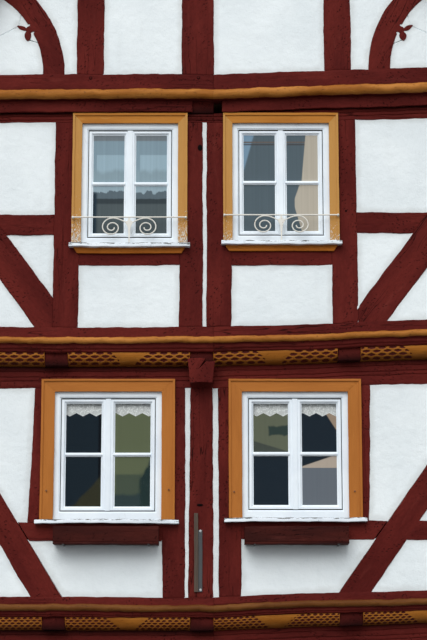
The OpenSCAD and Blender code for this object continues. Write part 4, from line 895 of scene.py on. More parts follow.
class SolidForm:
    """One solid of a frame node, as a mesh that can be bevelled, cut and worn."""

    def __init__(self, mesh: bmesh.types.BMesh) -> None:
        """Keeps the solid's own corners, before anything is changed."""
        self.mesh = mesh
        self.corners = np.array([vert.co for vert in mesh.verts])
        self.low = self.corners.min(axis=0)
        self.high = self.corners.max(axis=0)
        self.middle = (self.low + self.high) / 2.0

    @property
    def wall(self) -> Wall:
        """The wall that the solid is nearest to."""
        low, high = (np.array(corner) for corner in CAD_BOX)
        reach = (high - low) / 2.0
        share = (self.middle - (low + high) / 2.0) / np.array([HALF_WIDTH, reach[1] - VERGE, 1.0])
        if abs(share[1]) >= abs(share[0]):
            return Wall.FRONT if share[1] < 0.0 else Wall.REAR
        return Wall.LEFT if share[0] < 0.0 else Wall.RIGHT

    @property
    def depth_axis(self) -> int:
        """The axis through the nearest wall."""
        return 1 if self.wall in (Wall.FRONT, Wall.REAR) else 0

    @property
    def flat(self) -> list[int]:
        """The two axes along the nearest wall."""
        return [axis for axis in range(3) if axis != self.depth_axis]

    def bevel(self, width: float, sharpest: float = 18.0) -> None:
        """Rounds the edges that bend by more than a number of degrees."""
        limit = math.radians(sharpest)
        edges = [edge for edge in self.mesh.edges if edge.calc_face_angle(0.0) > limit]
        if edges and width > 0.0:
            bmesh.ops.bevel(
                self.mesh, geom=edges, offset=width, segments=2, profile=0.55, affect="EDGES",
                clamp_overlap=True,
            )

    def cut(self, step: float, axes: list[int]) -> None:
        """Cuts the surface into a grid whose lines lie a step apart, the same for all solids."""
        for axis in axes:
            normal = Vector([float(axis == other) for other in range(3)])
            if self.high[axis] - self.low[axis] < 1.4 * step:
                continue
            first = math.floor(self.low[axis] / step) + 1
            last = math.ceil(self.high[axis] / step)
            for number in range(first, last):
                whole = self.mesh.verts[:] + self.mesh.edges[:] + self.mesh.faces[:]
                place_on = normal * number * step
                bmesh.ops.bisect_plane(self.mesh, geom=whole, plane_co=place_on, plane_no=normal)

    def widen(self, reach: float) -> None:
        """Grows the solid by a reach along its wall, so that its edges go behind its neighbours."""
        depth = self.depth_axis
        moves = {}
        for vert in self.mesh.verts:
            sides = []
            for face in vert.link_faces:
                normal = face.normal.copy()
                if abs(normal[depth]) < 0.5 and all(normal.dot(known) < 0.999 for known in sides):
                    sides.append(normal)
            moves[vert] = self.corner_move(sides) * reach
        for vert, move in moves.items():
            vert.co += move

    def corner_move(self, sides: list[Vector]) -> Vector:
        """Gives the move that takes a corner one unit out of each of its side faces."""
        if not sides:
            return Vector((0.0, 0.0, 0.0))
        pair = (sides[0], sides[-1])
        if len(sides) == 1 or pair[0].dot(pair[1]) > 0.9:
            return sum(sides, Vector()).normalized()
        equations = np.array([[side[axis] for axis in self.flat] for side in pair])
        if abs(np.linalg.det(equations)) < 0.2:
            return sum(pair, Vector()).normalized()
        move = Vector((0.0, 0.0, 0.0))
        for axis, reach in zip(self.flat, np.linalg.solve(equations, np.ones(2))):
            move[axis] = float(reach)
        return move

    def grain(self, points: np.ndarray, lot: np.random.Generator) -> np.ndarray:
        """Gives coordinates along and across the timber, each timber in a place of its own.

        Args:
            points: one point a row.
            lot: draws the timber's own place in the pattern.

        Returns:
            One vector a row: along, across and through.
        """
        spread = np.cov((self.corners - self.corners.mean(axis=0)).T)
        sizes, axes = np.linalg.eigh(spread)
        ordered = axes[:, np.argsort(sizes)[::-1]]
        return points @ ordered + lot.uniform(0.0, 40.0, size=3)

    def arrays(self) -> tuple[np.ndarray, list[list[int]]]:
        """Gives the points and faces as they are now."""
        self.mesh.verts.index_update()
        points = np.array([vert.co for vert in self.mesh.verts])
        faces = [[vert.index for vert in face.verts] for face in self.mesh.faces]
        return points, faces


VERGE = 0.25
HALF_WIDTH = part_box("gable_sill")[1].x
FINE = 0.03
COARSE = 0.30
HIGH_TIMBER = 0.5
THIN_BOARD = 0.1
WORN_FOOT = 0.38
SAME_LEVEL = 0.3
FRAME_REACH = (0.62, 0.9)
HEAD_REACH = 0.8


def solids_of(node: str) -> Iterator[SolidForm]:
    """Takes a node's mesh apart into its solids, each with its flat faces whole.

    Args:
        node: the name of a node of the frame.

    Yields:
        One solid at a time.
    """
    whole = bmesh.new()
    whole.from_mesh(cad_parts[node].data)
    bmesh.ops.remove_doubles(whole, verts=whole.verts[:], dist=WELD)
    whole.verts.index_update()
    seen: set[int] = set()
    for start in whole.verts:
        if start.index in seen:
            continue
        members = [start]
        seen.add(start.index)
        for vert in members:
            for edge in vert.link_edges:
                other = edge.other_vert(vert)
                if other.index not in seen:
                    seen.add(other.index)
                    members.append(other)
        part = bmesh.new()
        copies = {vert.index: part.verts.new(vert.co) for vert in members}
        faces = {face.index: face for vert in members for face in vert.link_faces}
        for number in sorted(faces):
            part.faces.new([copies[vert.index] for vert in faces[number].verts])
        level = math.radians(0.6)
        bmesh.ops.dissolve_limit(part, angle_limit=level, verts=part.verts[:], edges=part.edges[:])
        part.normal_update()
        yield SolidForm(part)
        part.free()
    whole.free()


@dataclass(frozen=True)
class TimberWork:
    """The hewn timbers of the house: posts, beams, braces, rafters and boards."""

    shop: Workshop
    edge: float = 5.0 * MM
    bow: Wander = Wander(seed=11, reach=3.2 * MM, wavelength=1.3)
    hewing: Wander = Wander(seed=12, reach=2.6 * MM, wavelength=0.26)
    chipping: Wander = Wander(seed=13, reach=1.7 * MM, wavelength=0.080)
    housing: Pair = (2.0 * MM, 22.0 * MM)
    slanting: Pair = (0.4, 1.2)

    def wear(self, points: np.ndarray, share: float = 1.0) -> np.ndarray:
        """Gives points their hewn, wavering place."""
        moves = self.bow.at(points) + self.hewing.at(points) + self.chipping.at(points)
        moves[:, 1] *= 0.55
        return points + share * moves

    def build(
        self, node: str, finish: Finish, share: float = 1.0, edge: float | None = None,
        step: float | None = None, worn: float = 0.0, soot: Pair = (0.0, 0.0), name: str = "",
        pick: Callable[[SolidForm], bool] = lambda form: True,
    ) -> Piece:
        """Makes the worn form of a node of timbers, or of some of them.

        Args:
            node: the name of the node.
            finish: what the timbers are painted with.
            share: how much of the wandering they get.
            edge: width of the worn edges, or None for the usual one.
            step: distance of the cuts on the front, or None for the usual one.
            worn: how worn the paint is at the foot of each timber, from 0 to 1.
            soot: how much painted shade the lower part and the upper edge of each timber get, from 0 to 1.
            name: the piece's name, or nothing for the node's name.
            pick: says which of the node's solids are made.

        Returns:
            The finished piece, which replaces the node.
        """
        lot = np.random.default_rng(sum(map(ord, node + name)))
        pile = Pile()
        for form in solids_of(node):
            if not pick(form):
                continue
            near = form.wall is Wall.FRONT
            if near:
                self.house_foot(form)
            form.bevel(self.edge if edge is None else edge)
            form.cut((step or FINE) if near else COARSE, self.cut_axes(form))
            points, faces = form.arrays()
            grain = form.grain(points, lot)
            share_up = (points[:, 2] - form.low[2]) / (form.high[2] - form.low[2])
            # Painted shade: darker towards the foot and towards the upper edge, by the two given shares.
            dark = soot[0] * np.clip(1.15 - 1.1 * share_up, 0.0, 1.0)
            dark += soot[1] * np.clip(1.0 - (1.0 - share_up) / 0.3, 0.0, 1.0)
            wear = worn * self.foot_wear(form, points)
            pile.put(self.wear(points, share), faces, grain=grain, wear=wear, soot=dark)
        name = (name or node) + "_worn"
        return self.shop.enter(name, pile.mesh(name), finish, (node,))

    def house_foot(self, form: SolidForm) -> None:
        """Lets the foot of a slanting timber into the beam under it, which may slope."""
        size = form.high - form.low
        least, share = self.slanting
        if size[2] < HIGH_TIMBER or size[0] < least or size[0] > share * size[2]:
            return
        for vert in form.mesh.verts:
            if vert.co.z < form.low[2] + 2.0 * MM:
                vert.co += Vector((0.0, self.housing[0], -self.housing[1]))

    @staticmethod
    def foot_wear(form: SolidForm, points: np.ndarray) -> np.ndarray:
        """Gives each point's wear.

        High timbers are worn most at the foot and thin boards at the upper edge, beams not at all.
        """
        height = form.high[2] - form.low[2]
        over_foot = points[:, 2] - form.low[2]
        if height < THIN_BOARD:
            return 0.68 + 0.95 * np.clip(over_foot / height / 0.6 - 0.67, 0.0, 1.0)
        if height < HIGH_TIMBER:
            return np.zeros(len(points))
        return 0.3 + 0.7 * np.exp(-over_foot / WORN_FOOT)

    @staticmethod
    def cut_axes(form: SolidForm) -> list[int]:
        """Leaves out the cuts through the depth of a timber in its wall."""
        size = form.high - form.low
        return [axis for axis in range(3) if axis != form.depth_axis or size[axis] > HIGH_TIMBER]


@dataclass(frozen=True)
class PlasterWork:
    """The plastered panels between the timbers."""

    behind: float = 14.0 * MM
    setback: float = 12.0 * MM
    swell: Wander = Wander(seed=21, reach=1.8 * MM, wavelength=0.8)
    step: float = 0.05

    def build(self, shop: Workshop, node: str) -> Piece:
        """Makes the panels of a node, their edges tucked behind the timbers."""
        pile = Pile()
        for form in solids_of(node):
            form.widen(self.behind)
            self.lay_back(form)
            near = form.wall is Wall.FRONT
            form.cut(self.step if near else COARSE, form.flat)
            points, faces = form.arrays()
            rim = self.rim(form, points)
            moves = self.swell.at(points)
            moves[:, 2] = 0.0
            pile.put(points + moves, faces, rim=rim)
        name = node + "_coat"
        return shop.enter(name, pile.mesh(name), PLASTER, (node,))

    def lay_back(self, form: SolidForm) -> None:
        """Sets the hidden rim of a panel's outer face back, so that no joint of the timbers shows it."""
        out = form.wall.out
        form.mesh.normal_update()
        outer = [face for face in form.mesh.faces if face.normal.dot(out) > 0.5]
        face_depth = max(vert.co.dot(out) for face in outer for vert in face.verts)
        inset = self.behind - 2.0 * MM
        bmesh.ops.inset_region(form.mesh, faces=outer, thickness=inset, use_even_offset=False)
        form.mesh.normal_update()
        hidden = {
            vert for face in form.mesh.faces if abs(face.normal.dot(out)) < 0.5
            for vert in face.verts if vert.co.dot(out) > face_depth - self.setback
        }
        for vert in hidden:
            vert.co -= out * self.setback
        form.mesh.normal_update()

    def rim(self, form: SolidForm, points: np.ndarray) -> np.ndarray:
        """Gives each point's distance to the visible edge of its panel."""
        spots = points[:, form.flat]
        nearest = np.full(len(points), 10.0)
        for edge in form.mesh.edges:
            ends = [np.array(vert.co)[form.flat] for vert in edge.verts]
            if not any(abs(face.normal[form.depth_axis]) < 0.3 for face in edge.link_faces):
                continue
            run = ends[1] - ends[0]
            length = float(run @ run)
            if length < 1e-10:
                continue
            along = np.clip(((spots - ends[0]) @ run) / length, 0.0, 1.0)
            gap = np.linalg.norm(spots - ends[0] - along[:, None] * run, axis=1)
            nearest = np.minimum(nearest, gap)
        return np.maximum(nearest - self.behind, 0.0)


@dataclass(frozen=True)
class ScaleCarving:
    """Fish-scale carving on the rounded fillers between the joists, plain ochre in the middle."""

    pitch: float
    row: float
    reach: float
    slant: float
    depth: float = 9.0 * MM

    def hollow(self, along: np.ndarray, width: float, height: np.ndarray) -> np.ndarray:
        """Gives how hollow the carving is, from 0 on its ridges to 1.

        Args:
            along: distance from the filler's left end.
            width: the filler's length.
            height: height over the filler's foot.

        Returns:
            One number for each point.
        """
        line = np.floor(height / self.row)
        shifted = along / self.pitch + 0.5 * (line % 2)
        across = np.abs(shifted - np.floor(shifted) - 0.5) * 2.0
        upward = np.abs(height / self.row - line - 0.5) * 2.0
        lens = np.power(across / 0.86, 1.25) + np.power(upward / 0.92, 1.5)
        from_end = np.minimum(along, width - along)
        carved = from_end < self.reach + self.slant * (0.5 - height / (5.0 * self.row))
        inside = (height > 0.25 * self.row) & (from_end > 6.0 * MM)
        return np.clip((1.0 - lens) * 2.5, 0.0, 1.0) * carved * inside


@dataclass(frozen=True)
class FloorEdges:
    """The fillers between the joist ends: carved ochre ones in front, plain ones at the rear."""

    lower: ScaleCarving = ScaleCarving(pitch=0.060, row=0.024, reach=0.47, slant=0.16)
    upper: ScaleCarving = ScaleCarving(pitch=0.106, row=0.0315, reach=0.47, slant=0.18)
    step: float = 7.0 * MM
    plain_back: float = 0.06
    soot: Pair = (0.55, 0.38)

    def build(self, shop: Workshop, timber: TimberWork) -> None:
        """Makes the fillers of both floor edges."""
        split = (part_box("first_sill")[0].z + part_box("second_sill")[0].z) / 2.0
        lot = np.random.default_rng(31)
        front, rear = Pile(), Pile()
        for form in solids_of("floor_fillers"):
            if form.wall is not Wall.FRONT:
                form.bevel(timber.edge)
                form.cut(COARSE, form.flat)
                points, faces = form.arrays()
                rear.put(timber.wear(points), faces, grain=form.grain(points, lot))
                continue
            carving = self.lower if form.middle[2] < split else self.upper
            form.bevel(3.0 * MM, 40.0)
            form.cut(self.step * (1.0), form.flat)
            points, faces = form.arrays()
            foot = self.foot(form, points)
            hollow = carving.hollow(points[:, 0] - form.low[0], form.high[0] - form.low[0], foot)
            hollow *= points[:, 1] < form.high[1] - self.plain_back
            grain = form.grain(points, lot)
            moved = timber.wear(points, 0.5)
            moved[:, 1] += carving.depth * hollow
            moved[:, 2] += 0.4 * carving.depth * hollow
            # Painted shade: each filler darker towards its foot, where its rounded underside lies in
            # shadow.
            darkest, share = self.soot
            soot = darkest * np.clip(1.0 - foot / (share * foot.max()), 0.0, 1.0)
            front.put(moved, faces, grain=grain, hollow=hollow, soot=soot)
        name = "carved_fillers"
        shop.enter(name, front.mesh(name, 60.0), CARVED_OCHRE, ("floor_fillers",))
        shop.enter("rear_fillers", rear.mesh("rear_fillers"), OXBLOOD)

    @staticmethod
    def foot(form: SolidForm, points: np.ndarray) -> np.ndarray:
        """Gives each point's height over the foot of its filler, which may slope."""
        across = form.corners[:, 0]
        ends = [form.corners[np.abs(across - x) < 2.0 * MM] for x in (form.low[0], form.high[0])]
        left, right = (end[:, 2].min() for end in ends)
        share = (points[:, 0] - form.low[0]) / (form.high[0] - form.low[0])
        return points[:, 2] - (left + share * (right - left))


@dataclass(frozen=True)
class WindowPlace:
    """Where one window of two casements is, and what shape its panes have."""

    wall: Wall
    storey: Storey
    panes: tuple[tuple[np.ndarray, np.ndarray], ...]
    opening: tuple[np.ndarray, np.ndarray]

    def local(self, across: float, out: float, up: float) -> Vector:
        """Gives a place from distances across the window, out of its glass and up from its lower edge."""
        low, high = self.opening
        start = Vector(low)
        along = self.wall.along
        for axis in (0, 1):
            if along[axis] < 0.0:
                start[axis] = high[axis]
        for axis in (0, 1):
            if self.wall.out[axis]:
                start[axis] = self.glass_depth(axis)
        return start + along * across + self.wall.out * out + UP * up

    def glass_depth(self, axis: int) -> float:
        """Gives the place of the middle of the glass on the axis through the wall."""
        low, high = self.panes[0]
        return float(low[axis] + high[axis]) / 2.0

    @property
    def width(self) -> float:
        """Width of the opening."""
        low, high = self.opening
        return float(max(high[0] - low[0], high[1] - low[1]))

    @property
    def height(self) -> float:
        """Height of the opening."""
        return float(self.opening[1][2] - self.opening[0][2])

    def pane_frame(self, number: int) -> Quad:
        """Gives a pane's left, right, lower and upper edge in the window's own distances."""
        low, high = self.panes[number]
        origin = self.local(0.0, 0.0, 0.0)
        places = [self.wall.along.dot(Vector(corner) - origin) for corner in (low, high)]
        return min(places), max(places), float(low[2] - origin.z), float(high[2] - origin.z)


def find_windows() -> list[WindowPlace]:
    """Finds the windows from the frame's panes and frame bars.

    Returns:
        The windows, front ones first.
    """
    panes = list(solids_of("window_glass"))
    bars = list(solids_of("window_frames"))
    floors = [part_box(node)[0].z for node in ("first_sill", "second_sill")]
    places = []
    while panes:
        pane = panes.pop(0)
        wall, level, axis = pane.wall, pane.middle[2], 1 - pane.depth_axis
        mates = [
            other for other in panes
            if other.wall is wall and abs(other.middle[2] - level) < SAME_LEVEL
        ]
        mate = min(mates, key=lambda other: abs(other.low[axis] - pane.low[axis]))
        panes.remove(mate)
        pair = [(form.low, form.high) for form in (pane, mate)]
        pair.sort(key=lambda box: box[0][axis] * (1.0 if wall in (Wall.FRONT, Wall.RIGHT) else -1.0))
        middle = (pane.middle[axis] + mate.middle[axis]) / 2.0
        around = [
            bar for bar in bars
            if bar.wall is wall and abs(bar.middle[axis] - middle) < FRAME_REACH[0]
            and abs(bar.middle[2] - level) < FRAME_REACH[1]
            and bar.low[2] < level < bar.high[2] + HEAD_REACH
        ]
        low = np.min([bar.low for bar in around], axis=0)
        high = np.max([bar.high for bar in around], axis=0)
        storey = Storey(int(level > floors[0]) + int(level > floors[1]))
        places.append(WindowPlace(wall, storey, tuple(pair), (low, high)))
    walls = list(Wall)
    places.sort(key=lambda one: (walls.index(one.wall), one.storey.value, one.local(0, 0, 0).x))
    return places


@dataclass(frozen=True)
class Moulding:
    """A closed cross-section.

    Each point has a share of the width, a step past it and a place out of the glass. The points at the
    share named joint lie in a joint, and their faces get painted shade.
    """

    points: tuple[Triple, ...]
    joint: float = -1.0

    def ring(self, pile: Pile, window: WindowPlace, outer: Quad, widths: Quad) -> None:
        """Runs the moulding round a rectangle, mitred at its corners.

        Args:
            pile: takes the result.
            window: gives the place of the rectangle.
            outer: left, right, lower and upper edge.
            widths: width of the left and right sides, of the top and of the foot.
        """
        left, right, low, high = outer
        points = []
        for share, step, out in self.points:
            start, end, top, foot = (share * width + step for width in widths)
            corners = (
                (left + start, low + foot), (right - end, low + foot),
                (right - end, high - top), (left + start, high - top),
            )
            points += [window.local(across, out, up) for across, up in corners]
        array = np.array(points)
        grain = array @ np.array([[0.0, 1.0, 0.3], [0.3, 0.0, 1.0], [1.0, 0.3, 0.0]])
        # Painted shade: the points on the inner faces of the joint are painted dark.
        soot = np.repeat([share == self.joint and out < 0.0205 for share, _, out in self.points], 4)
        pile.put(array, grid_faces(len(self.points), 4, closed=True), grain=grain, soot=soot.astype(float))

    def bar(
        self, pile: Pile, window: WindowPlace, ends: Pair, edge: float, width: float, upright: bool = False
    ) -> None:
        """Runs the moulding straight from end to end, level or upright.

        Args:
            pile: takes the result.
            window: gives the place of the bar.
            ends: where it starts and ends.
            edge: its lower edge, or its left edge if it is upright.
            width: how wide it is from that edge.
            upright: whether it stands.
        """
        points = []
        for end in ends:
            for share, step, out in self.points:
                beside = edge + share * width + step
                points.append(window.local(beside, out, end) if upright else window.local(end, out, beside))
        array = np.array(points)
        pile.put(array, grid_faces(2, len(self.points)), grain=array[:, ::-1] if upright else array)


def grid_faces(rows: int, columns: int, turned: bool = True, closed: bool = False) -> list[list[int]]:
    """Gives the faces between rows of points.

    Args:
        rows: number of rows.
        columns: number of points in each row.
        turned: whether each row runs round, to its first point again.
        closed: whether the last row meets the first one. If not, turned rows get a cap at each end.

    Returns:
        The numbers of each face's points.
    """
    faces = [
        [
            row * columns + column, row * columns + (column + 1) % columns,
            (row + 1) % rows * columns + (column + 1) % columns, (row + 1) % rows * columns + column,
        ]
        for row in range(rows if closed else rows - 1)
        for column in range(columns if turned else columns - 1)
    ]
    if turned and not closed:
        faces += [list(range(columns))[::-1], list(range((rows - 1) * columns, rows * columns))]
    return faces


def level_normals(mesh: Mesh) -> Mesh:
    """Turns every face of a mesh of closed shells outwards."""
    work = bmesh.new()
    work.from_mesh(mesh)
    bmesh.ops.recalc_face_normals(work, faces=work.faces[:])
    work.to_mesh(mesh)
    work.free()
    return mesh


@dataclass(frozen=True)
class Joinery:
    """The frames, casements, glazing bars and panes of all the windows."""

    windows: tuple[WindowPlace, ...]
    stile: float = 48.0 * MM
    meeting: Pair = (19.0 * MM, 10.0 * MM)
    gap: float = 0.4 * MM
    side_gap: float = 1.1 * MM
    head_gap: float = 6.0 * MM
    foot_gap: float = 3.5 * MM
    bar_width: float = 40.0 * MM
    cover_width: float = 53.0 * MM
    frame_section: Moulding = Moulding((
        (0.0, 0.0, -0.038), (1.0, 0.016, -0.038), (1.0, 0.016, -0.0225), (1.0, 0.0, -0.0225),
        (1.0, 0.0, 0.020), (1.0, -0.005, 0.025),
        (1.0, -0.012, 0.026), (1.0, -0.015, 0.035), (0.0, 0.0, 0.035),
    ), joint=1.0)
    casement_section: Moulding = Moulding((
        (0.0, 0.004, -0.022), (1.0, -0.002, -0.022), (1.0, 0.0006, -0.006), (1.0, 0.0006, 0.003),
        (1.0, -0.003, 0.004), (1.0, -0.009, 0.009), (1.0, -0.013, 0.0155), (1.0, -0.016, 0.0165),
        (1.0, -0.018, 0.0235), (0.0, 0.007, 0.0235), (0.0, 0.0045, 0.0215), (0.0, 0.004, 0.017),
    ), joint=0.0)
    bar_section: Moulding = Moulding((
        (0.0, 0.0, 0.003), (0.0, 0.0, 0.006), (0.0, 0.005, 0.009), (0.0, 0.009, 0.016),
        (0.0, 0.013, 0.0225), (1.0, -0.013, 0.0225), (1.0, -0.009, 0.016), (1.0, -0.005, 0.009),
        (1.0, 0.0, 0.006), (1.0, 0.0, 0.003), (1.0, -0.012, -0.018), (0.0, 0.012, -0.018),
    ))
    cover_section: Moulding = Moulding((
        (0.0, 0.0, 0.0225), (0.0, 0.0, 0.0275), (0.0, 0.004, 0.0315), (1.0, -0.004, 0.0315),
        (1.0, 0.0, 0.0275), (1.0, 0.0, 0.0225),
    ))

    def build(self, shop: Workshop) -> None:
        """Makes everything in the openings."""
        frames, casements, bars = Pile(), Pile(), Pile()
        for window in self.windows:
            panes = [window.pane_frame(number) for number in (0, 1)]
            low, high = panes[0][2:]
            around = self.stile + self.gap
            side = panes[0][0] - around - self.gap
            widths = (side, side, window.height - high - around - self.gap, low - around - self.gap)
            self.frame_section.ring(frames, window, (0.0, window.width, 0.0, window.height), widths)
            meeting = self.meeting[1 if window.storey is Storey.SECOND else 0]
            slack = self.side_gap
            for number, pane in enumerate(panes):
                outer = (
                    pane[0] - around + (slack if number == 0 else 0.0),
                    pane[1] + around - (slack if number == 1 else 0.0),
                    pane[2] - around + self.foot_gap, pane[3] + around - self.head_gap,
                )
                wide, narrow = around + meeting, around - slack
                sides = (narrow, wide) if number == 0 else (wide, narrow)
                widths = (*sides, around - self.head_gap, around - self.foot_gap)
                self.casement_section.ring(casements, window, outer, widths)
                middle = (pane[2] + pane[3]) / 2.0 - self.bar_width / 2.0
                ends = (pane[0] - 4.0 * MM, pane[1] + 4.0 * MM)
                self.bar_section.bar(bars, window, ends, middle, self.bar_width)
            cover = (panes[0][1] + panes[1][0] - self.cover_width) / 2.0
            ends = (low - around + 5.0 * MM, high + around - 5.0 * MM)
            self.cover_section.bar(bars, window, ends, cover, self.cover_width, upright=True)
        for name, pile, replaced in (
            ("moulded_window_frames", frames, ("window_frames",)),
            ("moulded_casements", casements, ("casements",)),
            ("glazing_and_cover_bars", bars, ()),
        ):
            shop.enter(name, level_normals(pile.mesh(name, 28.0)), JOINERY_WHITE, replaced)
        self.panes(shop)

    def panes(self, shop: Workshop) -> None:
        """Makes the panes, each a thin slab that knows its place in its window."""
        finishes = UPPER_GLASS + LOWER_GLASS
        piles = {finish.name: Pile() for finish in finishes}
        lot = np.random.default_rng(41)
        for count, window in enumerate(self.windows):
            finish = (UPPER_GLASS if window.storey is Storey.SECOND else LOWER_GLASS)[self.look(count)]
            own = lot.uniform(0.0, 9.0)
            laced = 0.0 if window.storey is Storey.SECOND else 1.0
            cloth_left, cloth_top = WindowCloths.corner(window)
            for number in (0, 1):
                left, right, low, high = window.pane_frame(number)
                corners = [(left, low), (right, low), (right, high), (left, high)]
                points, places, cloth = [], [], []
                for out in (2.0 * MM, -2.0 * MM):
                    for across, up in corners:
                        points.append(window.local(across, out, up))
                        share = (up - low) / (high - low)
                        places.append((across / window.width, share, own + 1.7 * number))
                        cloth.append((across - cloth_left, cloth_top - up, laced))
                piles[finish.name].put(
                    np.array(points), grid_faces(2, 4), pane=np.array(places), cloth=np.array(cloth)
                )
        for finish in finishes:
            name = finish.name + "_panes"
            shop.enter(name, level_normals(piles[finish.name].mesh(name)), finish, ("window_glass",))

    def look(self, count: int) -> int:
        """Gives 0 for a window whose glass looks as on the left half of the front, and 1 for the others."""
        window = self.windows[count]
        if window.wall is Wall.FRONT:
            return 0 if window.local(window.width / 2.0, 0.0, 0.0).x < 0.0 else 1
        return count % 2


@dataclass(frozen=True)
class Gathering:
    """How a cloth is gathered: the distance of its folds and how far they swing out."""

    fold: float
    depth: float


@dataclass(frozen=True)
class WindowCloths:
    """Lace across the heads of the lower windows and sheer curtains behind the upper ones."""

    windows: tuple[WindowPlace, ...]
    behind: float = 0.036
    rod_radius: float = 4.0 * MM
    hem: LaceHem = HEM
    overlap: float = 0.03
    lace: Gathering = Gathering(fold=0.045, depth=3.0 * MM)
    sheer: Gathering = Gathering(fold=0.075, depth=9.0 * MM)
    mesh_step: Pair = (7.0 * MM, 14.0 * MM)

    def build(self, shop: Workshop) -> None:
        """Makes a rod and its cloths in each window."""
        for number, window in enumerate(self.windows):
            name = f"{window.wall.name.lower()}_{window.storey.name.lower()}_{number}"
            left, top = self.corner(window)
            top -= self.rod_radius
            right = window.pane_frame(1)[1] + self.overlap
            ends = (left - self.overlap, right + self.overlap)
            rod = self.rod(shop, window, "curtain_rod_" + name, ends, top)
            if window.storey is Storey.SECOND:
                middle = (left + right) / 2.0
                drop = window.height - 0.2
                for start, end, side in ((left, middle - 0.05, "left"), (middle + 0.07, right, "right")):
                    self.sheet(shop, window, f"sheer_{side}_{name}", start, end, top, drop, None)
            else:
                self.sheet(shop, window, "lace_" + name, left, right, top, self.hem.drop, self.hem)

    @classmethod
    def corner(cls, window: WindowPlace) -> Pair:
        """Gives the left end and the upper edge of a window's cloth."""
        left, _, _, high = window.pane_frame(0)
        return left - cls.overlap, high + 0.018

    def rod(self, shop: Workshop, window: WindowPlace, name: str, ends: Pair, up: float) -> Piece:
        """Makes the thin rod that the cloth hangs from, held at both ends by the frame."""
        sides = 10
        pile = Pile()
        points = []
        for across in ends:
            for corner in range(sides):
                angle = 2.0 * math.pi * corner / sides
                out = self.rod_radius * math.cos(angle) - self.behind
                points.append(window.local(across, out, up + self.rod_radius * math.sin(angle)))
        array = np.array(points)
        pile.put(array, grid_faces(2, sides), grain=array)
        return shop.enter(name, level_normals(pile.mesh(name)), JOINERY_WHITE)

    def sheet(
        self, shop: Workshop, window: WindowPlace, name: str, left: float, right: float, top: float,
        drop: float, teeth: LaceHem | None,
    ) -> None:
        """Makes one gathered cloth, with a toothed hem if it is lace.

        Args:
            shop: enters the cloth.
            window: the window that it hangs in.
            name: the cloth's name.
            left: its left edge.
            right: its right edge.
            top: height of the rod.
            drop: its length.
            teeth: its toothed hem, or None if it is plain.
        """
        columns = int((right - left) / self.mesh_step[0])
        rows = max(6, int(drop / self.mesh_step[1]))
        kind = self.lace if teeth else self.sheer
        folds = 2.0 * math.pi / kind.fold
        depth = kind.depth
        phase = float(len(name)) + 1.7 * left
        points, cut = [], []
        length_along = 0.0
        previous = None
        for column in range(columns + 1):
            across = left + (right - left) * column / columns
            wobble = math.sin(folds * across + phase) + 0.5 * math.sin(0.43 * folds * across + 2.0 * phase)
            here = Vector((across, depth * wobble))
            length_along += 0.0 if previous is None else (here - previous).length
            previous = here
            hem = teeth.depth(across - left) if teeth else drop
            for row in range(rows + 1):
                share = row / rows
                swing = depth * wobble * (0.35 + 0.65 * share)
                up = top + self.rod_radius - hem * share
                points.append(window.local(across, -self.behind - 0.006 + swing, up))
                cut.append((length_along, hem * share, hem * (1.0 - share)))
        pile = Pile()
        pile.put(np.array(points), grid_faces(columns + 1, rows + 1, turned=False), cut=np.array(cut))
        cloth = shop.enter(name, pile.mesh(name, 180.0), LACE if teeth else SHEER)


class GeometryTree(NodeGraph):
    """One Geometry Nodes tree, built node by node."""

    def __init__(self, name: str) -> None:
        """Starts a tree with an input and an output for the geometry."""
        super().__init__(bpy.data.node_groups.new(name, "GeometryNodeTree"))
        for side in ("INPUT", "OUTPUT"):
            self.tree.interface.new_socket("Geometry", in_out=side, socket_type="NodeSocketGeometry")
        self.start = self.add("NodeGroupInput")
        self.sockets: dict[str, str] = {}

    def entry(self, name: str, kind: str) -> Socket:
        """Adds a named input and gives its socket inside the tree."""
        item = self.tree.interface.new_socket(name, in_out="INPUT", socket_type="NodeSocket" + kind)
        self.sockets[name] = item.identifier
        return self.start.outputs[name]

    def close(self, geometry: bpy.types.Node, material: Socket) -> None:
        """Realizes the instances, sets their material and links the tree's output."""
        real = self.add("GeometryNodeRealizeInstances", {"Geometry": geometry})
        coated = self.add("GeometryNodeSetMaterial", {"Geometry": real, "Material": material})
        self.add("NodeGroupOutput", {0: coated})

    def run(self, name: str, mesh: Mesh, values: dict[str, object]) -> Mesh:
        """Runs the tree on a mesh.

        Args:
            name: name of the new mesh.
            mesh: what the tree starts from.
            values: the tree's inputs by name.

        Returns:
            The result as a plain mesh.
        """
        host = place(name + "_host", mesh)
        modifier = host.modifiers.new("nodes", "NODES")
        modifier.node_group = self.tree
        for key, value in values.items():
            modifier[self.sockets[key]] = value
        bpy.context.view_layer.update()
        graph = bpy.context.evaluated_depsgraph_get()
        result = bpy.data.meshes.new_from_object(host.evaluated_get(graph), depsgraph=graph)
        host.modifiers.remove(modifier)
        bpy.data.objects.remove(host)
        result.name = name
        return result


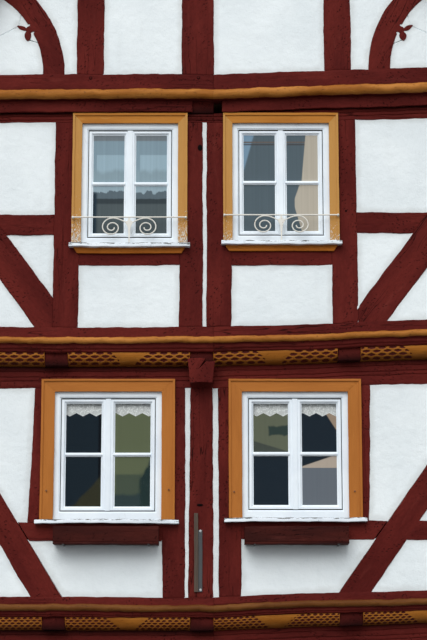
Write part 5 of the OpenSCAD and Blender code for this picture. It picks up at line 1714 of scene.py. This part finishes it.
class SettingOut:
    """Sets copies of a template on chosen places, each a little turned and toned by itself."""

    def __init__(self, shop: Workshop) -> None:
        """Builds the tree."""
        self.shop = shop
        tree = GeometryTree("set_out_copies")
        template = tree.entry("Template", "Object")
        play = tree.entry("Play", "Float")
        lean = tree.entry("Lean", "Float")
        seed = tree.entry("Seed", "Int")
        material = tree.entry("Material", "Material")
        info = tree.add("GeometryNodeObjectInfo", {"Object": template})
        spread = {0: (-1.0, -1.0, -1.0), 1: (1.0, 1.0, 1.0), "Seed": seed}
        drift = tree.add("FunctionNodeRandomValue", spread, data_type="FLOAT_VECTOR")
        offset = tree.add("ShaderNodeVectorMath", {0: drift, "Scale": play}, operation="SCALE")
        moved = tree.add("GeometryNodeSetPosition", {"Geometry": tree.start, "Offset": offset})
        turn = tree.add("GeometryNodeInputNamedAttribute", {"Name": "turn"}, data_type="FLOAT_VECTOR")
        size = tree.add("GeometryNodeInputNamedAttribute", {"Name": "size"}, data_type="FLOAT_VECTOR")
        sway = tree.add("FunctionNodeRandomValue", {**spread, "ID": 7}, data_type="FLOAT_VECTOR")
        swing = tree.add("ShaderNodeVectorMath", {0: sway, "Scale": lean}, operation="SCALE")
        heading = tree.add("FunctionNodeEulerToRotation", {0: turn})
        leaning = tree.add("FunctionNodeEulerToRotation", {0: swing})
        both = tree.add("FunctionNodeRotateRotation", {0: heading, 1: leaning}, rotation_space="LOCAL")
        copies = tree.add(
            "GeometryNodeInstanceOnPoints",
            {"Points": moved, "Instance": info.outputs["Geometry"], "Rotation": both, "Scale": size},
        )
        tone = tree.add("FunctionNodeRandomValue", {2: 0.0, 3: 1.0, "Seed": seed}, data_type="FLOAT")
        toned = tree.add(
            "GeometryNodeStoreNamedAttribute",
            {"Geometry": copies, "Name": "shade", "Value": tone.outputs[1]},
            data_type="FLOAT", domain="INSTANCE",
        )
        tree.close(toned, material)
        self.tree = tree

    def set_out(
        self, name: str, template: Mesh, places: list[Vector], turns: list[Triple],
        sizes: list[Triple], finish: Finish, play: float = 0.0, lean: float = 0.0,
        seed: int = 1, replaced: tuple[str, ...] = (),
    ) -> Piece:
        """Makes one piece of many copies.

        Args:
            name: the piece's name.
            template: what is copied.
            places: where each copy goes.
            turns: how each copy is turned, as angles about X, Y and Z.
            sizes: how each copy is scaled.
            finish: what the copies are made of.
            play: how far a copy may be from its place.
            lean: how far a copy may lean, as an angle.
            seed: seed of the play, lean and tone.
            replaced: the frame's nodes that the piece stands for.

        Returns:
            The finished piece.
        """
        points = bpy.data.meshes.new(name + "_places")
        points.from_pydata([tuple(place) for place in places], [], [])
        for key, rows in (("turn", turns), ("size", sizes)):
            attribute = points.attributes.new(key, "FLOAT_VECTOR", "POINT")
            attribute.data.foreach_set("vector", np.array(rows, dtype=np.float32).ravel())
        holder = place(name + "_template", template)
        values = {"Template": holder, "Play": play, "Lean": lean, "Seed": seed}
        mesh = self.tree.run(name, points, {**values, "Material": self.shop.material(finish)})
        bpy.data.objects.remove(holder)
        return self.shop.enter(name, mesh, finish, replaced)


def turned_form(name: str, outline: Sequence[Pair], sides: int) -> Mesh:
    """Turns an outline about Z, as on a lathe.

    Args:
        name: name of the mesh.
        outline: radius and height of each ring, from the first pole to the last.
        sides: number of sides.

    Returns:
        A closed mesh.
    """
    angles = [2.0 * math.pi * side / sides for side in range(sides)]
    points = [
        (radius * math.cos(angle), radius * math.sin(angle), height)
        for radius, height in outline for angle in angles
    ]
    pile = Pile()
    array = np.array(points)
    pile.put(array, grid_faces(len(outline), sides), grain=array)
    return level_normals(pile.mesh(name, 40.0))


@dataclass(frozen=True)
class IronGrilles:
    """The wrought rails before the upper windows: a bar, two scrolls and a stem with a shield."""

    bar: float = 7.0 * MM
    scroll: float = 6.3 * MM
    centre: Pair = (-0.174, -0.106)
    reach: float = 0.099
    wider: float = 1.13
    start: float = math.radians(72.0)
    turns: float = 1.8
    steps: int = 64
    tightening: float = 1.4654
    shield: tuple[Pair, ...] = (
        (0.037, -0.046), (0.033, -0.066), (0.021, -0.086), (0.013, -0.112), (0.010, -0.150),
        (0.0075, -0.180),
    )
    arm: tuple[Pair, ...] = (
        (-0.024, -0.060), (-0.038, -0.0505), (-0.056, -0.041), (-0.076, -0.032), (-0.097, -0.0235),
        (-0.119, -0.0165),
    )
    knob: tuple[Pair, ...] = (
        (0.012, -0.001), (0.012, 0.002), (0.006, 0.004), (0.0055, 0.012), (0.010, 0.016),
        (0.0125, 0.022), (0.011, 0.029), (0.006, 0.033),
    )

    def build(self, shop: Workshop, setting: SettingOut) -> None:
        """Makes the bars and scrolls of all the grilles, their shields and the knobs at their ends."""
        tree = self.tree()
        shields = Pile()
        knobs: list[Vector] = []
        paths: dict[str, list[list[Vector]]] = {"bars": [], "scrolls": []}
        for form in solids_of("iron_grilles"):
            iron = (form.high[1] - form.low[1]) / 3.0
            rail = Vector((form.middle[0], form.high[1] - 1.5 * iron, form.high[2] - iron))
            half = (form.high[0] - form.low[0]) / 2.0 - iron
            paths["bars"].append([rail + Vector((side * half, 0.0, 0.0)) for side in (-1.0, 1.0)])
            for side in (-1.0, 1.0):
                line = [*self.arm, *self.spiral()]
                paths["scrolls"].append([rail + Vector((-side * x, 0.0, z)) for x, z in line])
                knobs.append(Vector((rail.x + side * half, form.high[1], rail.z)))
            self.put_shield(shields, rail, float(form.low[2]))
        for name, thickness in (("bars", self.bar), ("scrolls", self.scroll)):
            mesh = tree.run(
                "grille_" + name, self.lines(paths[name]),
                {"Thickness": thickness, "Material": shop.material(CREAM_IRON)},
            )
            shop.enter("grille_" + name, level_normals(mesh), CREAM_IRON, ("iron_grilles",))
        mesh = level_normals(shields.mesh("grille_shields"))
        shop.enter("grille_shields", mesh, CREAM_IRON, ("iron_grilles",))
        setting.set_out(
            "grille_knobs", turned_form("knob", self.knob, 16), knobs,
            [(math.pi / 2.0, 0.0, 0.0)] * len(knobs), [(1.0, 1.0, 1.0)] * len(knobs), CREAM_IRON, seed=71,
        )

    @staticmethod
    def tree() -> GeometryTree:
        """Makes the tree that runs a round bar along each line."""
        tree = GeometryTree("round_bar_along_lines")
        thickness = tree.entry("Thickness", "Float")
        material = tree.entry("Material", "Material")
        line = tree.add("GeometryNodeMeshToCurve", {0: tree.start})
        section = tree.add("GeometryNodeCurvePrimitiveCircle", {"Resolution": 10, "Radius": thickness})
        inputs = {"Curve": line, "Profile Curve": section, "Fill Caps": True}
        bar = tree.add("GeometryNodeCurveToMesh", inputs)
        tree.close(tree.add("GeometryNodeSetShadeSmooth", {"Geometry": bar}), material)
        return tree

    @staticmethod
    def lines(paths: list[list[Vector]]) -> Mesh:
        """Makes one mesh of open lines."""
        points = [tuple(point) for path in paths for point in path]
        edges, first = [], 0
        for path in paths:
            edges += [(first + number, first + number + 1) for number in range(len(path) - 1)]
            first += len(path)
        mesh = bpy.data.meshes.new("grille_lines")
        mesh.from_pydata(points, edges, [])
        return mesh

    def spiral(self) -> list[Pair]:
        """Gives the scroll, which tightens between an even and a growing rate."""
        points = []
        for step in range(self.steps + 1):
            share = step / self.steps
            angle = self.start + 2.0 * math.pi * self.turns * share
            growing = math.exp(-self.tightening * share)
            radius = self.reach * (0.5 * growing + 0.5 * (1.0 - 0.8 * share))
            across = self.centre[0] + self.wider * radius * math.cos(angle)
            points.append((across, self.centre[1] + radius * math.sin(angle)))
        return points

    def put_shield(self, pile: Pile, rail: Vector, foot: float) -> None:
        """Makes the stem with its shield, a flat plate that hangs from the rail."""
        right = [(0.010, -0.002), (0.012, -0.034), *self.shield, (0.0065, foot - rail.z)]
        outline = right + [(-across, up) for across, up in reversed(right)]
        half = 3.5 * MM
        points = [(rail.x + x, rail.y + y, rail.z + z) for y in (-half, half) for x, z in outline]
        pile.put(np.array(points), grid_faces(2, len(outline)))


@dataclass(frozen=True)
class SmallFittings:
    """Pegs, screws, bolt heads, and dark discs of painted shade round the pegs and in old holes of the
    front timbers.
    """

    pegs: tuple[Pair, ...] = ((-1.244, 8.468), (-0.152, 8.472))
    holes: tuple[Quad, ...] = ((-0.136, 7.765, 0.024, 0.032), (1.330, 7.106, 0.010, 0.010))
    slots: tuple[Quad, ...] = ((-0.133, 4.172, 0.031, 0.012),)
    screws: tuple[Pair, ...] = ((-0.440, 4.320), (0.202, 4.300), (1.390, 4.305), (-1.645, 4.310))
    bolts: tuple[Pair, ...] = ((-0.128, 3.917), (-0.127, 3.344))

    def build(self, setting: SettingOut) -> None:
        """Sets out all of them."""
        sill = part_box("gable_sill")[0].y
        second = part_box("second_front_frame")[0].y
        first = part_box("first_front_frame")[0].y
        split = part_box("second_sill")[0].z
        trim = min(form.low[1] for form in solids_of("window_trims") if form.middle[2] < split)
        strip = max(form.low[1] for form in solids_of("post_fixture"))
        holes = [(x, second, z, wide, high) for x, z, wide, high in self.holes]
        holes += [(x, first, z, wide, high) for x, z, wide, high in self.slots]
        # Painted shade: dark discs stand for the shadow in the joint round each peg and in the old holes
        # and slots.
        self.put(setting, "peg_joints", PAINTED_HOLE_SHADE, self.heads(self.pegs, sill, 0.017), 2.5 * MM)
        self.put(setting, "oak_pegs", OXBLOOD, self.heads(self.pegs, sill, 0.012), 4.5 * MM)
        self.put(setting, "old_holes", PAINTED_HOLE_SHADE, holes, 2.5 * MM)
        self.put(setting, "trim_screws", RUSTY_IRON, self.heads(self.screws, trim, 0.008), 2.0 * MM)
        self.put(setting, "bolt_heads", PALE_STEEL, self.heads(self.bolts, strip, 0.012), 3.0 * MM)

    @staticmethod
    def heads(spots: tuple[Pair, ...], front: float, radius: float) -> list[Spot]:
        """Gives the places of round heads of one radius on one face."""
        return [(x, front, z, radius, radius) for x, z in spots]

    @staticmethod
    def put(setting: SettingOut, name: str, finish: Finish, places: list[Spot], proud: float) -> None:
        """Sets round or oval heads on the front.

        Args:
            setting: sets out the copies.
            name: the piece's name.
            finish: what the heads are made of.
            places: x, y and z of each, with its half width and half height.
            proud: how far the heads stand out of the face.
        """
        head = turned_form(name + "_head", [(1.0, -5.0 * MM), (1.0, 0.6 * proud), (0.8, proud)], 20)
        setting.set_out(
            name, head, [Vector(place[:3]) for place in places], [(math.pi / 2.0, 0.0, 0.0)] * len(places),
            [(place[3], place[4], 1.0) for place in places], finish, seed=72,
        )


@dataclass(frozen=True)
class RoofSlope:
    """One slope of plain clay tiles on its boards."""

    node: str
    tile_width: float = 0.178
    gauge: float = 0.165
    tile_length: float = 0.38
    tile_thickness: float = 15.0 * MM
    bed: float = 42.0 * MM
    tail: float = 0.062
    side_gap: float = 1.5 * MM

    def section(self) -> tuple[np.ndarray, np.ndarray]:
        """Gives the ridge and the eaves point of the upper surface, as x and z."""
        points = np.array([vert.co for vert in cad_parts[self.node].data.vertices])
        span = np.abs(points[:, 0])
        ridge = points[span < span.min() + 0.002]
        eaves = points[span > span.max() - 0.002]
        tops = [group[np.argmax(group[:, 2])] for group in (ridge, eaves)]
        return tops[0][[0, 2]], tops[1][[0, 2]]

    def tile(self) -> Mesh:
        """Makes one plain tile with a rounded tail, lying up the slope from its tail at y = 0."""
        half = self.tile_width / 2.0 - self.side_gap
        outline = [(-half, self.tile_length), (half, self.tile_length)][::-1]
        steps = 7
        for step in range(steps + 1):
            angle = math.pi * step / steps
            outline.append((-half * math.cos(angle), self.tail - self.tail * math.sin(angle)))
        points = [(x, y, z) for z in (0.0, self.tile_thickness) for x, y in outline]
        pile = Pile()
        pile.put(np.array(points), grid_faces(2, len(outline)))
        return level_normals(pile.mesh("plain_tile", 30.0))

    def build(self, shop: Workshop, setting: SettingOut) -> None:
        """Makes the tiles and the boards under them."""
        ridge, eaves = self.section()
        low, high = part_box(self.node)
        fall = eaves - ridge
        length = float(np.linalg.norm(fall))
        pitch = math.atan2(-fall[1], abs(fall[0]))
        side = 1.0 if fall[0] > 0.0 else -1.0
        lean = math.asin(self.tile_thickness * 1.05 / self.gauge * 0.5)
        normal = Vector((side * math.sin(pitch), 0.0, math.cos(pitch)))
        down = Vector((side * math.cos(pitch), 0.0, -math.sin(pitch)))
        courses = int((length - 0.14) / self.gauge)
        columns = int((high.y - low.y - 0.01) / self.tile_width)
        inset = (high.y - low.y - columns * self.tile_width) / 2.0
        places, turns, sizes = [], [], []
        sunk = self.tile_thickness * 2.0 + 4.0 * MM
        for course in range(courses + 1):
            from_ridge = length - 0.004 - course * self.gauge
            odd = course % 2
            for column in range(columns + 1 - odd):
                along = low.y + inset + self.tile_width * (column + 0.5 * odd)
                if not odd and column in (0, columns):
                    along += self.tile_width / 4.0 * (1.0 if column == 0 else -1.0)
                on_ridge = Vector((ridge[0], along, ridge[1]))
                places.append(on_ridge + down * from_ridge - normal * sunk)
                narrow = 0.5 if not odd and column in (0, columns) else 1.0
                sizes.append((narrow, min(1.0, (from_ridge - 0.02) / self.tile_length), 1.0))
                turns.append((pitch - lean, 0.0, side * math.pi / 2.0))
        piece = setting.set_out(
            self.node + "_tiles", self.tile(), places, turns, sizes, CLAY,
            play=1.5 * MM, lean=0.010, seed=51, replaced=(self.node,),
        )
        log.info("%s: %d courses", piece.name, courses + 1)
        self.boards(shop, normal)

    def boards(self, shop: Workshop, normal: Vector) -> None:
        """Makes the boarding under the tiles, from the lower part of the covering."""
        pile = Pile()
        lot = np.random.default_rng(52)
        for form in solids_of(self.node):
            for vert in form.mesh.verts:
                if any(face.normal.dot(normal) > 0.99 for face in vert.link_faces):
                    vert.co -= normal * self.bed
            points, faces = form.arrays()
            pile.put(points, faces, grain=form.grain(points, lot))
        name = self.node + "_boarding"
        shop.enter(name, pile.mesh(name), BOARDS, (self.node,))


@dataclass(frozen=True)
class Plinth:
    """The courses of dressed stone and the mortar behind them."""

    courses: int = 2
    joint: float = 9.0 * MM
    mortar_back: float = 12.0 * MM
    depth: float = 0.10
    shortest: float = 0.34
    longest: float = 0.62

    def build(self, shop: Workshop, setting: SettingOut) -> None:
        """Makes the mortar core and the stones on all four sides."""
        core = Pile()
        lot = np.random.default_rng(61)
        for form in solids_of("stone_plinth"):
            for vert in form.mesh.verts:
                for axis, limits in enumerate(zip(*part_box("stone_plinth"))):
                    if axis < 2 and min(abs(vert.co[axis] - limit) for limit in limits) < 1.0 * MM:
                        vert.co[axis] -= math.copysign(self.mortar_back, vert.co[axis])
            points, faces = form.arrays()
            core.put(points, faces, shade=np.full(len(points), 0.55))
        shop.enter("plinth_mortar", core.mesh("plinth_mortar"), STONE, ("stone_plinth",))

        block = self.block()
        places, turns, sizes = [], [], []
        low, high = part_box("stone_plinth")
        right_top = high.z
        corners = [vert.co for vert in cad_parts["stone_plinth"].data.vertices]
        left_top = max(corner.z for corner in corners if corner.x < 0.0)
        for wall in Wall:
            along = wall.along
            start = Vector((
                low.x if along.x > 0.0 or wall is Wall.LEFT else high.x,
                low.y if along.y > 0.0 or wall is Wall.FRONT else high.y, 0.0,
            ))
            run = (high.x - low.x) if wall in (Wall.FRONT, Wall.REAR) else (high.y - low.y)
            for row in range(self.courses):
                done = 0.0
                while done < run - 0.02:
                    width = lot.uniform(self.shortest, self.longest)
                    if run - done - width < self.shortest:
                        width = run - done
                    width = min(width, run - done)
                    centre = start + along * (done + width / 2.0)
                    top = left_top + (right_top - left_top) * max(0.0, centre.x) / high.x
                    height = top / self.courses
                    inward = wall.out * -(self.depth / 2.0)
                    places.append(centre + inward + UP * (height * (row + 0.5)))
                    turns.append((0.0, 0.0, math.atan2(along.y, along.x)))
                    bed = self.joint * (0.5 if row == 0 else 1.0)
                    sizes.append((width - self.joint, self.depth, height - bed))
                    done += width
        setting.set_out("plinth_stones", block, places, turns, sizes, STONE, seed=62)

    @staticmethod
    def block() -> Mesh:
        """Makes a stone of unit size with worn edges and a rough face."""
        work = bmesh.new()
        bmesh.ops.create_cube(work, size=1.0)
        bmesh.ops.bevel(work, geom=work.edges[:], offset=0.045, segments=2, affect="EDGES")
        long = [edge for edge in work.edges if edge.calc_length() > 0.4]
        bmesh.ops.subdivide_edges(work, edges=long, cuts=3, use_grid_fill=True)
        draw = np.random.default_rng(63)
        for vert in work.verts:
            if abs(vert.co.y) > 0.49:
                vert.co.y -= math.copysign(draw.uniform(0.0, 0.035), vert.co.y)
        mesh = bpy.data.meshes.new("stone_block")
        work.to_mesh(mesh)
        work.free()
        mesh.shade_smooth()
        mesh.set_sharp_from_angle(angle=math.radians(40.0))
        return mesh


class Studio:
    """Camera, lamps, floor and sky, none of them part of the house."""

    distance: float = 22.02
    eye: float = 2.43
    tilt: float = 11.0
    lens: float = 105.75
    floor_reach: float = 70.0

    def build(self) -> None:
        """Sets up everything around the house."""
        self.camera()
        self.lamps()
        self.sky()
        self.floor()

    def camera(self) -> None:
        """Puts the camera where the photographer stood."""
        data = bpy.data.cameras.new("camera")
        data.lens = self.lens
        data.sensor_width = 36.0
        data.clip_end = 200.0
        camera = place("camera", data)
        camera.location = (0.0, -self.distance, self.eye)
        camera.rotation_euler = (math.radians(90.0 + self.tilt), 0.0, 0.0)
        bpy.context.scene.camera = camera

    def lamps(self) -> None:
        """Adds soft light from over the left shoulder and a weaker one from behind."""
        for name, strength, softness, turn in (
            ("soft_key", 1.9, 50.0, (48.0, 0.0, -16.0)),
            ("soft_back", 0.7, 60.0, (50.0, 0.0, 160.0)),
        ):
            data = bpy.data.lights.new(name, "SUN")
            data.energy = strength
            data.angle = math.radians(softness)
            lamp = place(name, data)
            lamp.rotation_euler = tuple(math.radians(angle) for angle in turn)

    def sky(self) -> None:
        """Makes a plain pale world that lights a little less than it shows."""
        world = bpy.data.worlds.new("plain_sky")
        bpy.context.scene.world = world
        world.use_nodes = True
        sky = ShaderGraph(world.node_tree)
        seen = sky.add("Background", {"Color": (0.86, 0.88, 0.90, 1.0)})
        lights = sky.add("Background", {"Color": (0.97, 0.985, 1.0, 1.0), "Strength": 0.85})
        both = sky.add("MixShader", {0: self.shown(sky), 1: lights, 2: seen})
        sky.add("OutputWorld", {"Surface": both})

    @staticmethod
    def shown(graph: ShaderGraph) -> Socket:
        """Gives 1 for rays that show the background itself, in a mirror or through glass too."""
        path = graph.add("LightPath")
        total = path.outputs["Is Camera Ray"]
        for name in ("Is Glossy Ray", "Is Transmission Ray"):
            total = graph.sum("MAXIMUM", total, path.outputs[name])
        return total

    def floor(self) -> None:
        """Lays a plain pale floor that throws less light up than it shows."""
        mesh = bpy.data.meshes.new("studio_floor")
        reach = self.floor_reach
        corners = [(-reach, -reach, 0.0), (reach, -reach, 0.0), (reach, reach, 0.0), (-reach, reach, 0.0)]
        mesh.from_pydata(corners, [], [[0, 1, 2, 3]])
        floor = place("studio_floor", mesh)
        paint = ShaderRecipe("plain_pale_floor")
        colour = paint.mix(self.shown(paint), (0.05, 0.05, 0.052), (0.74, 0.75, 0.76))
        mesh.materials.append(paint.finish(colour, 0.9, 0.5))
        floor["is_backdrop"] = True


OXBLOOD_NODES = (
    "ground_sill", "first_sill", "second_sill", "gable_sill", "gable_board", "console",
    "ground_front_frame", "first_front_frame", "second_front_frame", "rear_frame", "side_frames",
    "gable_frames", "curved_braces", "rafters", "barge_boards",
)


def main() -> None:
    """Builds the house's finishes in order, then the studio."""
    logging.basicConfig(level=logging.INFO, format="%(message)s")
    bpy.context.scene.view_settings.view_transform = "Standard"
    Studio().build()
    shop = Workshop()
    timber = TimberWork(shop)
    for node in OXBLOOD_NODES:
        timber.build(node, OXBLOOD)
    # Painted shade: joist ends darker towards their foot and wall plates along their upper edge, where the
    # jetties shade them.
    timber.build("floor_joists", OXBLOOD, soot=(0.9, 0.0))
    timber.build("wall_plates", OXBLOOD, soot=(0.0, 0.9))
    timber.build("flower_boxes", BOX_BROWN, share=0.5)
    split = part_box("second_sill")[0].z
    low_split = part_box("first_sill")[0].z + 0.5
    for name, finish, pick in (
        ("upper_beads", BEAD_OCHRE, lambda form: form.middle[2] > low_split),
        ("lower_beads", SHADED_BEAD_OCHRE, lambda form: form.middle[2] <= low_split),
    ):
        timber.build("ochre_beads", finish, share=1.3, edge=0.0, name=name, pick=pick)
    for node in ("collar_beams", "ground_floor", "first_floor", "second_floor", "attic_floor"):
        timber.build(node, BOARDS, share=0.6, step=COARSE)
    for node in ("ground_infill", "first_infill", "second_infill", "gable_infill"):
        PlasterWork().build(shop, node)
    FloorEdges().build(shop, timber)
    planed = {"share": 0.25, "edge": 2.5 * MM}
    for name, finish, worn, pick in (
        ("lower_window_trims", NEW_OCHRE, 0.0, lambda form: form.middle[2] < split),
        ("flaking_window_trims", PEELED_OCHRE, 1.12,
         lambda form: form.middle[2] > split and form.middle[0] < 0.0),
        ("upper_window_trims", PEELED_OCHRE, 0.92,
         lambda form: form.middle[2] > split and form.middle[0] >= 0.0),
    ):
        timber.build("window_trims", finish, name=name, worn=worn, pick=pick, **planed)
    timber.build("window_aprons", APRON_OCHRE, **planed)
    timber.build("window_sills", JOINERY_WHITE, share=0.8, edge=3.0 * MM, worn=0.80)
    timber.build("door_frame", JOINERY_WHITE, share=0.3, edge=3.0 * MM)
    timber.build("front_door", DOOR_OAK, share=0.2, edge=3.0 * MM)
    timber.build("door_steps", STONE, share=1.0, edge=12.0 * MM)
    timber.build("box_brackets", BLACK_IRON, share=0.2, edge=1.0 * MM)
    lath_edge = (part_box("post_fixture")[0].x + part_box("post_fixture")[1].x) / 2.0
    for name, finish, share, edge, pick in (
        ("wooden_lath", LATH, 0.4, 1.5 * MM, lambda form: form.middle[0] < lath_edge),
        ("metal_strip", BANDING, 0.2, 0.8 * MM, lambda form: form.middle[0] > lath_edge),
    ):
        timber.build("post_fixture", finish, share=share, edge=edge, name=name, pick=pick)
    windows = tuple(find_windows())
    log.info("%d windows", len(windows))
    Joinery(windows).build(shop)
    WindowCloths(windows).build(shop)
    setting = SettingOut(shop)
    IronGrilles().build(shop, setting)
    SmallFittings().build(setting)
    for node in ("roof_left", "roof_right"):
        RoofSlope(node).build(shop, setting)
    timber.build("ridge_cap", CLAY, share=0.5, edge=3.0 * MM, step=COARSE)
    Plinth().build(shop, setting)


if __name__ == "__main__":
    main()
